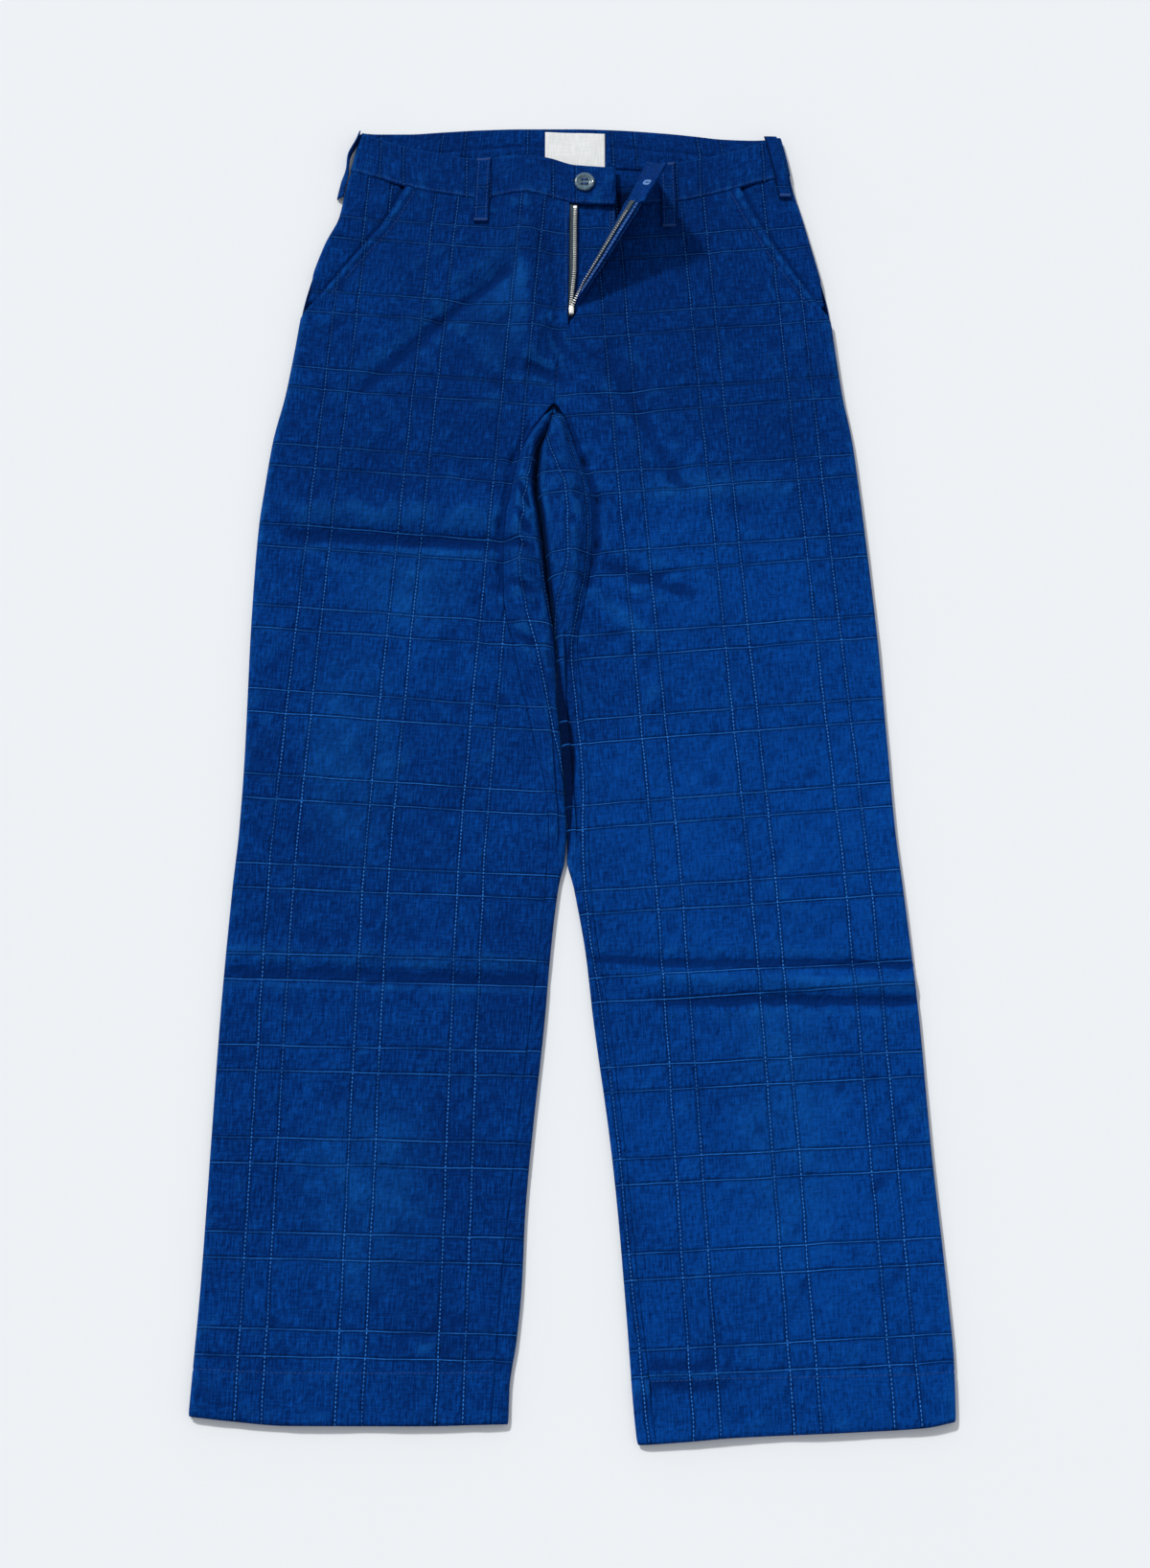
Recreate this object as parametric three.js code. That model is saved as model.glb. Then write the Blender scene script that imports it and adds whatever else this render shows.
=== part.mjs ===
// Sashiko trousers laid out flat, front up, with the fly open.
// Millimetres. +X is the wearer's left, +Y runs from the hems to the waist, +Z is up from the floor.
// Places on the garment are given as x across from its middle and as up, the distance above the hem line.
import * as THREE from 'three';

// Middle of the outline on the floor, which is the part's origin
const MIDDLE = { x: -2, up: 528.5 };

// Walls of cloth
const CLOTH = 1.4;
const HEM_CLOTH = 2;
const BAND_CLOTH = 2.6;
const LINING_CLOTH = 1.2;
const TAPE_CLOTH = 0.7;
const SEAM_GAP = 0.4;
const BAND_GAP = 0.9;
const LAYER_GAP = 0.4;

// A flattened leg in section: height of the side seam, how far its two edges part, radius of the fold there
const SEAM_HEIGHT = 3;
const SEAM_PART = { panel: 0.95, band: 1.2 };
const FOLD_RADIUS = 4.5;

// Hems, band, zip and pockets
const HEM_DEPTH = 37;
const HEM_RAISE = 0.5;
const BAND_LINE = 1006;
const BAND_DEPTH = 36;
const BAND_RAISE = 0.6;
const CROTCH_UP = 812;
const ZIP_FOOT = { x: -5, up: 884 };
const POCKET_FOOT = { right: 890, left: 886 };
const POCKET_HEAD = { right: -141, left: 137 };
const POCKET_UNDER = 12;
const SHIELD_EDGE = 34;
const SLIDER = { x: -2.9, up: 896.6 };
const BUTTON = { x: 8, up: 1016, radius: 8.5, depth: 3, hole: 1.1, spread: 2.1 };
const LABEL = { from: -25, to: 25, low: 1031, high: 1067, depth: 0.8 };
const LOOP = { half: 6, depth: 1.5 };

// Side seams and the inner folds of the legs, row by row up from the hem line
const SIDE_SEAM = [
  { up: -20, right: -278, left: 272 },
  { up: 40, right: -275, left: 273 },
  { up: 100, right: -272, left: 270 },
  { up: 200, right: -269, left: 263 },
  { up: 300, right: -266, left: 258 },
  { up: 400, right: -261, left: 250 },
  { up: 450, right: -257.5, left: 245.5 },
  { up: 520, right: -255.5, left: 242 },
  { up: 600, right: -255, left: 238 },
  { up: 650, right: -254, left: 234.5 },
  { up: 700, right: -252, left: 230.5 },
  { up: 740, right: -248, left: 227 },
  { up: 780, right: -243, left: 223 },
  { up: 820, right: -234.5, left: 216.5 },
  { up: 860, right: -228.5, left: 212 },
  { up: 900, right: -223, left: 207.5 },
  { up: 930, right: -216, left: 201 },
  { up: 960, right: -206.5, left: 194 },
  { up: 985, right: -195.5, left: 188 },
  { up: 1010, right: -191, left: 181.5 },
  { up: 1040, right: -184.5, left: 176.5 },
  { up: 1075, right: -177.5, left: 169 },
];
const INNER_FOLD = [
  { up: -20, right: -48, left: 47 },
  { up: 25, right: -47, left: 41.5 },
  { up: 60, right: -42, left: 38.5 },
  { up: 100, right: -38.5, left: 35.5 },
  { up: 150, right: -36.5, left: 31.5 },
  { up: 200, right: -32.5, left: 26.5 },
  { up: 300, right: -22.5, left: 13.5 },
  { up: 350, right: -18.5, left: 8 },
  { up: 400, right: -13, left: -0.5 },
  { up: 425, right: -8.5, left: -5.5 },
  { up: 450, right: -7, left: -5.4 },
  { up: 480, right: -9, left: -7.4 },
  { up: 520, right: -11.5, left: -9.9 },
  { up: 560, right: -15, left: -13.4 },
  { up: 600, right: -16, left: -14.4 },
  { up: 650, right: -21.5, left: -20 },
  { up: 710, right: -28, left: -26.5 },
  { up: 740, right: -32, left: -30.5 },
  { up: 770, right: -30, left: -28.5 },
  { up: 790, right: -23, left: -21.5 },
  { up: 812, right: -17.8, left: -16.2 },
  { up: 850, right: -14.8, left: -13.2 },
  { up: 884, right: -5.8, left: -4.2 },
  { up: 897, right: -5.6, left: 1.5 },
  { up: 930, right: -5, left: -1 },
  { up: 1075, right: -4, left: -5 },
];
// Seam of the two backs above the crotch
const CENTRE_BACK = [
  { up: 812, right: -17.8, left: -16.2 },
  { up: 900, right: -9.8, left: -8.2 },
  { up: 1075, right: -2.8, left: -1.2 },
];
// Inseams on top of the legs, below the crotch
const INSEAM = [
  { up: -20, right: -61, left: 60 },
  { up: 100, right: -53.5, left: 46 },
  { up: 200, right: -43.5, left: 37 },
  { up: 300, right: -33, left: 25.5 },
  { up: 400, right: -22.5, left: 12.5 },
  { up: 450, right: -20, left: 10.5 },
  { up: 480, right: -22.5, left: 11 },
  { up: 520, right: -31, left: 8.5 },
  { up: 560, right: -40, left: 5 },
  { up: 600, right: -48, left: 2 },
  { up: 640, right: -56, left: 8 },
  { up: 675, right: -57, left: 13 },
  { up: 705, right: -56, left: 14.5 },
  { up: 735, right: -51.5, left: 12.5 },
  { up: 765, right: -45, left: 3 },
  { up: 785, right: -36.5, left: -3 },
  { up: 800, right: -26.5, left: -8.5 },
  { up: 812, right: -18.6, left: -15.4 },
];
// Height of the upper cloth and how far the loose rolls between the legs stand above it
const THICKNESS = [
  { up: -20, height: 6.4, roll: 0 },
  { up: 300, height: 6.2, roll: 0 },
  { up: 560, height: 6.4, roll: 0 },
  { up: 620, height: 6.6, roll: 6 },
  { up: 680, height: 7, roll: 11 },
  { up: 740, height: 7.6, roll: 10 },
  { up: 785, height: 8, roll: 5 },
  { up: 812, height: 8.4, roll: 0 },
  { up: 900, height: 9, roll: 0 },
  { up: 1000, height: 8.8, roll: 0 },
  { up: 1075, height: 6.6, roll: 0 },
];
// Lower and upper edge of the band's front halves, the back band's top edge and the hems, across the garment
const BAND_EDGES = [
  { x: -192, low: 1031, high: 1068, back: 1069 },
  { x: -167, low: 1023, high: 1060, back: 1067 },
  { x: -143, low: 1014, high: 1052, back: 1067 },
  { x: -112, low: 1007, high: 1045, back: 1069 },
  { x: -80, low: 1002.5, high: 1040, back: 1071 },
  { x: -45, low: 1006.5, high: 1044, back: 1072 },
  { x: -22, low: 1003, high: 1041, back: 1072 },
  { x: 0, low: 998, high: 1034, back: 1072 },
  { x: 34, low: 996, high: 1032, back: 1071 },
  { x: 80, low: 998.5, high: 1036, back: 1067.5 },
  { x: 102, low: 1002.5, high: 1039.5, back: 1065 },
  { x: 126, low: 1009, high: 1045.5, back: 1062 },
  { x: 152, low: 1017, high: 1054, back: 1061 },
  { x: 185, low: 1027, high: 1064, back: 1064 },
];
const HEM_LINE = [
  { x: -278, up: 5.4 },
  { x: -248, up: 2 },
  { x: -205, up: -1.4 },
  { x: -110, up: -1.6 },
  { x: -48, up: -0.3 },
  { x: 40, up: -15 },
  { x: 77, up: -13 },
  { x: 112, up: -10 },
  { x: 200, up: -6 },
  { x: 250, up: -3 },
  { x: 273, up: 1.5 },
];
// Largest folds of the fronts: a soft ridge or trough along the line between two places
const FOLDS = [
  { name: 'puff beside the fly', x1: -38, up1: 985, x2: -38, up2: 870, width: 14, rise: 5 },
  { name: 'hollow left of the puff', x1: -62, up1: 930, x2: -160, up2: 835, width: 12, rise: -2.4 },
  { name: 'hook under the fly', x1: -34, up1: 842, x2: -22, up2: 838, width: 7, rise: -2.5 },
  { name: 'thigh crease, right leg', x1: -215, up1: 697, x2: -64, up2: 690, width: 8, rise: -2.8 },
  { name: 'cloth above the thigh crease', x1: -215, up1: 720, x2: -70, up2: 714, width: 14, rise: 2.4 },
  { name: 'knee crease, right leg', x1: -250, up1: 336, x2: -30, up2: 330, width: 6, rise: -2.4 },
  { name: 'cloth above the knee, right leg', x1: -250, up1: 352, x2: -40, up2: 346, width: 9, rise: 1.8 },
  { name: 'knee fold, left leg', x1: 64, up1: 329, x2: 258, up2: 325, width: 7, rise: 3.6 },
  { name: 'dip above the knee, left leg', x1: 20, up1: 345, x2: 255, up2: 342, width: 6, rise: -2 },
  { name: 'dip below the knee, left leg', x1: 70, up1: 311, x2: 255, up2: 312, width: 6, rise: -2 },
  { name: 'dimple below the seat, left leg', x1: 34, up1: 668, x2: 78, up2: 652, width: 10, rise: -2.6 },
  { name: 'corner puff, left leg', x1: 16, up1: 640, x2: 42, up2: 622, width: 12, rise: 3 },
  { name: 'soft fall from the fly, left leg', x1: 30, up1: 850, x2: 78, up2: 750, width: 14, rise: -2.2 },
  { name: 'inner edge of the right leg, above its neighbour', x1: -21, up1: 590, x2: -18, up2: 450, width: 8, rise: 2.4 },
  { name: 'inner edge of the left leg, pressed low', x1: -3, up1: 590, x2: 2, up2: 450, width: 7, rise: -2 },
  { name: 'fold at the hem, right leg', x1: -108, up1: 54, x2: -70, up2: 64, width: 6, rise: 1.6 },
  { name: 'fold at the hem, left leg', x1: 46, up1: 33, x2: 105, up2: 34, width: 5, rise: 1.4 },
];
// The open fly flap turns about the foot of the zip. Angles are from straight up, towards the wearer's left.
const FLAP = { foot: 27, start: 3, full: 26 };
const FLAP_TURN = [
  { arc: 0, turn: 0 },
  { arc: 5, turn: 98 },
  { arc: 11, turn: 119 },
  { arc: 18, turn: 122 },
  { arc: 60, turn: 122 },
];

const DEGREE = Math.PI / 180;
const smooth = (from, to, t) => THREE.MathUtils.smoothstep(t, from, to);
const lerp = THREE.MathUtils.lerp;

// Reads one column of a table at a place on its key column, on a smooth curve that keeps between its rows
function read(table, key, column, at) {
  const last = table.length - 1;
  if (at <= table[0][key]) return table[0][column];
  if (at >= table[last][key]) return table[last][column];
  let row = 0;
  while (table[row + 1][key] < at) row += 1;
  const slope = (i) => (table[i + 1][column] - table[i][column]) / (table[i + 1][key] - table[i][key]);
  const tangent = (i) => {
    if (i === 0) return slope(0);
    if (i === last) return slope(last - 1);
    const before = slope(i - 1);
    const after = slope(i);
    return before * after <= 0 ? 0 : (2 * before * after) / (before + after);
  };
  const span = table[row + 1][key] - table[row][key];
  const t = (at - table[row][key]) / span;
  const h = t * t * (3 - 2 * t);
  const rise1 = t * (1 - t) * (1 - t) * span * tangent(row);
  const rise2 = t * t * (t - 1) * span * tangent(row + 1);
  return lerp(table[row][column], table[row + 1][column], h) + rise1 + rise2;
}

const inward = { right: 1, left: -1 };
const seamAt = (side, up) => read(SIDE_SEAM, 'up', side, up);
const foldAt = (side, up) => read(INNER_FOLD, 'up', side, up);
const backEdge = (side, up) => (up > CROTCH_UP ? read(CENTRE_BACK, 'up', side, up) : foldAt(side, up));

// Height of a fold above the plain cloth: a bell across its line, which fades out past both ends
function foldHeight(fold, x, up) {
  const dx = fold.x2 - fold.x1;
  const dup = fold.up2 - fold.up1;
  const length = Math.hypot(dx, dup);
  const along = ((x - fold.x1) * dx + (up - fold.up1) * dup) / length;
  const across = ((x - fold.x1) * dup - (up - fold.up1) * dx) / length;
  const past = Math.max(0, -along, along - length) / (2 * fold.width);
  return fold.rise * Math.exp(-((across / fold.width) ** 2) - past * past);
}

// Height of the upper cloth's outside
function clothHeight(x, up) {
  const folds = FOLDS.reduce((sum, fold) => sum + foldHeight(fold, x, up), 0);
  const hem = HEM_RAISE * (1 - smooth(HEM_DEPTH - 2, HEM_DEPTH + 1, up));
  return read(THICKNESS, 'up', 'height', up) + folds + hem;
}

// 1 over the flat of a leg, down to 0 at its edge along a quarter circle
const roundEdge = (inside, radius) => {
  const t = THREE.MathUtils.clamp(1 - inside / radius, 0, 1);
  return Math.sqrt(1 - t * t);
};

// The flap's section, as degrees across and degrees up after an arc from its foot
function flapSection(arc, strength) {
  const steps = 30;
  let across = 0;
  let rise = 0;
  for (let i = 0; i < steps; i += 1) {
    const turn = strength * read(FLAP_TURN, 'arc', 'turn', ((i + 0.5) / steps) * arc) * DEGREE;
    across += (Math.cos(turn) * arc) / steps;
    rise += (Math.sin(turn) * arc) / steps;
  }
  return { across, rise };
}

// Outside of the upper cloth over a place on the flat garment, as [x, up, z]
function onTop(side, x, up, part = SEAM_PART.panel) {
  const inside = inward[side] * (x - seamAt(side, up));
  const edge = roundEdge(inside, FOLD_RADIUS);
  const seam = SEAM_HEIGHT + part;
  const dx = x - ZIP_FOOT.x;
  const dup = up - ZIP_FOOT.up;
  const reach = Math.hypot(dx, dup);
  const angle = Math.atan2(dx, dup) / DEGREE;
  if (side === 'right' || dup <= 0 || angle >= FLAP.foot) {
    return [x, up, seam + (clothHeight(x, up) - seam) * edge];
  }
  const foot = FLAP.foot * DEGREE;
  const footX = ZIP_FOOT.x + reach * Math.sin(foot);
  const footUp = ZIP_FOOT.up + reach * Math.cos(foot);
  const bend = flapSection(FLAP.foot - angle, smooth(FLAP.start, FLAP.full, reach));
  const level = reach * Math.cos(bend.rise * DEGREE);
  const heading = (FLAP.foot - bend.across) * DEGREE;
  return [
    ZIP_FOOT.x + level * Math.sin(heading),
    ZIP_FOOT.up + level * Math.cos(heading),
    clothHeight(footX, footUp) + reach * Math.sin(bend.rise * DEGREE),
  ];
}

// Underside of the garment, on the floor, rising to the side seams at its edges
function onFloor(x, up) {
  const right = roundEdge(x - seamAt('right', up), FOLD_RADIUS);
  const left = roundEdge(seamAt('left', up) - x, FOLD_RADIUS);
  return [x, up, (SEAM_HEIGHT - SEAM_PART.band) * (1 - right * left)];
}

// Moves nominal rows so that a panel follows the band above it and the hem below it
function trueRow(x, row, floorSide) {
  const column = floorSide ? 'back' : 'low';
  const drop = floorSide ? BAND_DEPTH + 1 : 0;
  const top = read(BAND_EDGES, 'x', column, x) - drop - BAND_GAP - BAND_LINE;
  const hem = read(HEM_LINE, 'x', 'up', x);
  return row + top * smooth(880, BAND_LINE, row) + hem * (1 - smooth(0, 70, row));
}

// Side seam of a panel in one nominal row, where that row really meets it
function panelEdge(side, row, floorSide) {
  return seamAt(side, trueRow(seamAt(side, row), row, floorSide));
}

// Rows up a panel, closer together where it is shaped
function rows(stretches) {
  const list = [stretches[0].from];
  for (const { to, count } of stretches) {
    const start = list[list.length - 1];
    for (let i = 1; i <= count; i += 1) list.push(lerp(start, to, i / count));
  }
  return list;
}

// Gives each place of a grid its normal, from its neighbours in the grid
function skin(grid) {
  const point = (i, j) => {
    const row = grid[THREE.MathUtils.clamp(i, 0, grid.length - 1)];
    return new THREE.Vector3(...row[THREE.MathUtils.clamp(j, 0, row.length - 1)]);
  };
  return grid.map((row, i) => row.map((unused, j) => {
    const across = point(i, j + 1).sub(point(i, j - 1));
    const along = point(i + 1, j).sub(point(i - 1, j));
    return { place: point(i, j), normal: across.cross(along).normalize() };
  }));
}

// A closed wall on a skin: its outside is raised along the normals, its inside lies a depth below that
function wall(outer, depthAt, raiseAt = () => 0) {
  const rowCount = outer.length;
  const columnCount = outer[0].length;
  const outside = [];
  const inside = [];
  outer.forEach((row, i) => row.forEach(({ place, normal }, j) => {
    const raise = raiseAt(i, j);
    outside.push(place.clone().addScaledVector(normal, raise));
    inside.push(place.clone().addScaledVector(normal, raise - depthAt(i, j)));
  }));
  const index = [];
  const back = outside.length;
  const at = (i, j) => i * columnCount + j;
  const quad = (a, b, c, d) => index.push(a, b, c, a, c, d);
  for (let i = 0; i < rowCount - 1; i += 1) {
    for (let j = 0; j < columnCount - 1; j += 1) {
      quad(at(i, j), at(i, j + 1), at(i + 1, j + 1), at(i + 1, j));
      quad(back + at(i, j), back + at(i + 1, j), back + at(i + 1, j + 1), back + at(i, j + 1));
    }
  }
  const top = rowCount - 1;
  const end = columnCount - 1;
  for (let j = 0; j < end; j += 1) {
    quad(at(0, j), back + at(0, j), back + at(0, j + 1), at(0, j + 1));
    quad(at(top, j), at(top, j + 1), back + at(top, j + 1), back + at(top, j));
  }
  for (let i = 0; i < top; i += 1) {
    quad(at(i, 0), at(i + 1, 0), back + at(i + 1, 0), back + at(i, 0));
    quad(at(i, end), back + at(i, end), back + at(i + 1, end), at(i + 1, end));
  }
  const geometry = new THREE.BufferGeometry();
  const flat = [...outside, ...inside].flatMap((p) => [p.x - MIDDLE.x, p.y - MIDDLE.up, p.z]);
  geometry.setAttribute('position', new THREE.Float32BufferAttribute(flat, 3));
  geometry.setIndex(index);
  geometry.computeVertexNormals();
  return geometry;
}

// Grids run from the wearer's right to left, so that across x along points out of the top
const rightToLeft = (grid, side) => (side === 'right' ? grid : grid.map((row) => [...row].reverse()));

const LEG_ROWS = [
  { from: 0, to: 66, count: 3 },
  { to: 300, count: 6 },
  { to: 366, count: 7 },
  { to: 600, count: 7 },
  { to: 735, count: 9 },
  { to: 800, count: 5 },
  { to: CROTCH_UP, count: 1 },
];
const FRONT_ROWS = rows([...LEG_ROWS, { to: ZIP_FOOT.up, count: 4 }, { to: BAND_LINE, count: 8 }]);
const EDGE_COLUMNS = 3;
const BODY_COLUMNS = { right: 6, left: 5 };
const FLY_COLUMNS = { right: 4, left: 8 };

// Outer and inner limits of a front panel in one row
function frontLimits(side, row) {
  const pocket = THREE.MathUtils.clamp((row - POCKET_FOOT[side]) / (BAND_LINE - POCKET_FOOT[side]), 0, 1);
  const outer = lerp(panelEdge(side, row, false), POCKET_HEAD[side], pocket);
  const seam = row < CROTCH_UP ? read(INSEAM, 'up', side, row) : foldAt(side, row);
  return { outer, inner: seam - (inward[side] * SEAM_GAP) / 2 };
}

// Distances in from the outer limit: close at the rounded edge, even on the body, close again at the fly
function frontColumns(side, row, width) {
  const fly = side === 'left' ? lerp(40, 86, smooth(860, BAND_LINE, row)) : 34;
  const list = [];
  for (let i = 0; i < EDGE_COLUMNS; i += 1) {
    list.push(FOLD_RADIUS * (1 - Math.cos((i / EDGE_COLUMNS) * 90 * DEGREE)));
  }
  for (let i = 0; i < BODY_COLUMNS[side]; i += 1) {
    list.push(lerp(FOLD_RADIUS, width - fly, i / BODY_COLUMNS[side]));
  }
  for (let i = 0; i <= FLY_COLUMNS[side]; i += 1) {
    list.push(lerp(width - fly, width, i / FLY_COLUMNS[side]));
  }
  return list;
}

function frontGrid(side) {
  return FRONT_ROWS.map((row) => {
    const { outer, inner } = frontLimits(side, row);
    const width = Math.abs(inner - outer);
    return frontColumns(side, row, width).map((inside) => {
      const x = outer + inward[side] * inside;
      return onTop(side, x, trueRow(x, row, false));
    });
  });
}

const hemDepthAt = (rowList) => (i) => (rowList[i] < HEM_DEPTH + 1 ? HEM_CLOTH : CLOTH);

function frontPanel(side) {
  return wall(skin(rightToLeft(frontGrid(side), side)), hemDepthAt(FRONT_ROWS));
}

const BACK_ROWS = rows([
  ...LEG_ROWS,
  { to: 830, count: 2 },
  { to: 900, count: 2 },
  { to: BAND_LINE, count: 5 },
]);
const JOIN_FROM = 796;
const JOIN_TO = 830;
const ROLL_CROWN = 0.6;

// The part of a back panel that turns up round the inner fold and over to the inseam, as [inside, z] points
function turnUp(side, row, width) {
  const seam = read(INSEAM, 'up', side, Math.min(row, CROTCH_UP));
  const wrap = Math.max(0, Math.abs(backEdge(side, row) - seam) - SEAM_GAP / 2);
  const radius = Math.min(FOLD_RADIUS + 2, 0.5 * wrap + 0.6);
  const closing = smooth(JOIN_FROM, JOIN_TO, row);
  const lip = lerp(90, -90, closing);
  const sunk = (CLOTH + 1) * smooth(JOIN_FROM - 10, JOIN_FROM + 8, row);
  const x = backEdge(side, row);
  const crown = clothHeight(x, row) - sunk;
  const path = [[width - radius - 14, 0]];
  const steps = 16;
  for (let i = 0; i <= steps; i += 1) {
    const angle = lerp(-90, lip, i / steps) * DEGREE;
    const lift = Math.sin(angle) < 0 ? SEAM_HEIGHT : crown - SEAM_HEIGHT;
    path.push([width - radius + radius * Math.cos(angle), SEAM_HEIGHT + lift * Math.sin(angle)]);
  }
  const roll = read(THICKNESS, 'up', 'roll', row);
  const over = row < JOIN_FROM + 8 ? wrap - radius : 0;
  for (let i = 1; i <= steps && over > 0.2; i += 1) {
    const inside = width - radius - (over * i) / steps;
    path.push([inside, clothHeight(x - inward[side] * (radius + (over * i) / steps), row) - sunk]);
  }
  return path.map(([inside, z]) => {
    const t = THREE.MathUtils.clamp((width - inside) / Math.max(wrap, 1), 0, 1);
    const share = THREE.MathUtils.clamp((z - SEAM_HEIGHT) / (crown - SEAM_HEIGHT), 0, 1);
    return [inside, z + roll * share * rollShape(t) * (wrap > 1 ? 1 : 0)];
  });
}

// Section of a loose roll: a quarter ellipse up to its crown, then a soft fall to the inseam
function rollShape(t) {
  if (t < ROLL_CROWN) return Math.sqrt(1 - (1 - t / ROLL_CROWN) ** 2);
  return Math.cos(((t - ROLL_CROWN) / (1 - ROLL_CROWN)) * 90 * DEGREE) ** 2;
}

// Spreads a number of points evenly along a path
function spread(path, count) {
  const lengths = [0];
  for (let i = 1; i < path.length; i += 1) {
    lengths.push(lengths[i - 1] + Math.hypot(path[i][0] - path[i - 1][0], path[i][1] - path[i - 1][1]));
  }
  const total = lengths[lengths.length - 1];
  const list = [];
  for (let k = 0; k <= count; k += 1) {
    const want = (total * k) / count;
    let i = 1;
    while (i < path.length - 1 && lengths[i] < want) i += 1;
    const t = (want - lengths[i - 1]) / Math.max(1e-9, lengths[i] - lengths[i - 1]);
    list.push([lerp(path[i - 1][0], path[i][0], t), lerp(path[i - 1][1], path[i][1], t)]);
  }
  return list;
}

const TURN_COLUMNS = 9;
const FLOOR_COLUMNS = 4;

function backPanel(side) {
  const grid = BACK_ROWS.map((row) => {
    const outer = panelEdge(side, row, true);
    const width = Math.abs(backEdge(side, row) - outer);
    const turned = turnUp(side, row, width);
    const list = [];
    for (let i = 0; i < EDGE_COLUMNS; i += 1) {
      const angle = (i / EDGE_COLUMNS) * 90 * DEGREE;
      const edge = SEAM_HEIGHT - SEAM_PART.panel;
      list.push([FOLD_RADIUS * (1 - Math.cos(angle)), edge * (1 - Math.sin(angle))]);
    }
    for (let i = 0; i < FLOOR_COLUMNS; i += 1) {
      list.push([lerp(FOLD_RADIUS, turned[0][0], i / FLOOR_COLUMNS), 0]);
    }
    list.push(...spread(turned, TURN_COLUMNS));
    return list.map(([inside, z]) => {
      const x = outer + inward[side] * inside;
      return [x, trueRow(x, row, true), z];
    });
  });
  // The outside faces the floor, so these grids run the other way
  return wall(skin(rightToLeft(grid, side === 'right' ? 'left' : 'right')), hemDepthAt(BACK_ROWS));
}

// A piece laid on or under the upper cloth between two distances from its outside
function layer(side, columns, rowList, place, from, to) {
  const grid = rowList.map((row) => columns.map((column) => onTop(side, ...place(column, row))));
  const ordered = rightToLeft(grid, columns[0] < columns[columns.length - 1] ? 'right' : 'left');
  return wall(skin(ordered), () => from - to, () => from);
}

const even = (from, to, count) => Array.from({ length: count + 1 }, (unused, i) => lerp(from, to, i / count));

// The piece inside a slant pocket: level with the front at the side seam, under it at the pocket's edge
function pocketFacing(side) {
  const rowList = even(POCKET_FOOT[side] + 13, BAND_LINE - 2, 7);
  const pocketWidth = (row) => {
    const rise = (row - POCKET_FOOT[side]) / (BAND_LINE - POCKET_FOOT[side]);
    return Math.abs(POCKET_HEAD[side] - panelEdge(side, row, false)) * rise;
  };
  const insides = rowList.map((row) => {
    const start = 3.2 * (1 - smooth(4, 25, row - rowList[0]));
    const width = pocketWidth(row) + POCKET_UNDER;
    const edge = [start, start + 1, start + 3, FOLD_RADIUS + 3].map((v) => Math.min(v, width - 3));
    return [...edge, ...[0.45, 0.75, 1].map((t) => lerp(FOLD_RADIUS + 3, width, t))];
  });
  const grid = rowList.map((row, i) => insides[i].map((inside) => {
    const x = panelEdge(side, row, false) + inward[side] * inside;
    return onTop(side, x, trueRow(x, row, false), SEAM_PART.band);
  }));
  const sink = (i, j) => {
    const column = side === 'right' ? j : insides[i].length - 1 - j;
    const reach = Math.max(3, pocketWidth(rowList[i]) - 2);
    const level = (1 - smooth(0, reach, insides[i][column])) * smooth(4, 25, rowList[i] - rowList[0]);
    return -(CLOTH + LAYER_GAP) * (1 - level);
  };
  return wall(skin(rightToLeft(grid, side)), () => LINING_CLOTH, sink);
}

// Front half of the band: the same columns as the panel's top row, from the band's lower to its upper edge
function frontBand(side) {
  const outer = seamAt(side, 1040);
  const inner = side === 'right' ? SHIELD_EDGE : frontLimits('left', BAND_LINE).inner - 3;
  const width = Math.abs(inner - outer);
  const edges = even(0, EDGE_COLUMNS, EDGE_COLUMNS).map((i) => FOLD_RADIUS * (1 - Math.cos(i * 30 * DEGREE)));
  const flat = side === 'left' ? width - 86 : width;
  const body = even(FOLD_RADIUS, flat, 8).slice(1);
  const fly = side === 'left' ? even(flat, width, 8).slice(1) : [];
  const grid = even(0, 1, 3).map((t) => [...edges, ...body, ...fly].map((inside) => {
    const x0 = outer + inward[side] * inside;
    const up = lerp(read(BAND_EDGES, 'x', 'low', x0), read(BAND_EDGES, 'x', 'high', x0), t);
    const atEdge = seamAt(side, up) + inward[side] * inside;
    return onTop(side, lerp(atEdge, x0, smooth(0, 30, inside)), up, SEAM_PART.band);
  }));
  return wall(skin(rightToLeft(grid, side)), () => BAND_CLOTH, () => BAND_RAISE);
}

function backBand() {
  const grid = even(0, 1, 3).map((t) => {
    const up = (x) => read(BAND_EDGES, 'x', 'back', x) - BAND_DEPTH * (1 - t);
    const left = seamAt('left', 1050);
    const right = seamAt('right', 1050);
    const edges = [0, 0.6, 2.2, FOLD_RADIUS];
    const list = [
      ...edges.map((inside) => [right, inside]),
      ...even(0, 1, 14).slice(1, -1).map((s) => [lerp(right, left, s), 0]),
      ...[...edges].reverse().map((inside) => [left, -inside]),
    ];
    return list.map(([from, inside]) => {
      const nominal = up(from + inside);
      const shift = from === right || from === left
        ? seamAt(from === right ? 'right' : 'left', nominal) - from : 0;
      return onFloor(from + inside + shift, nominal);
    });
  });
  return wall(skin(grid.map((row) => [...row].reverse())), () => BAND_CLOTH);
}

// The underlap behind the zip, below both fronts
function flyShield() {
  const under = -(CLOTH + LINING_CLOTH + TAPE_CLOTH + 3.2 * LAYER_GAP);
  const columns = even(-16, SHIELD_EDGE, 5);
  const rowList = even(872, BAND_LINE - 12, 6);
  return layer('right', columns, rowList, (x, up) => [x, up], under, under - LINING_CLOTH);
}

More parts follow.
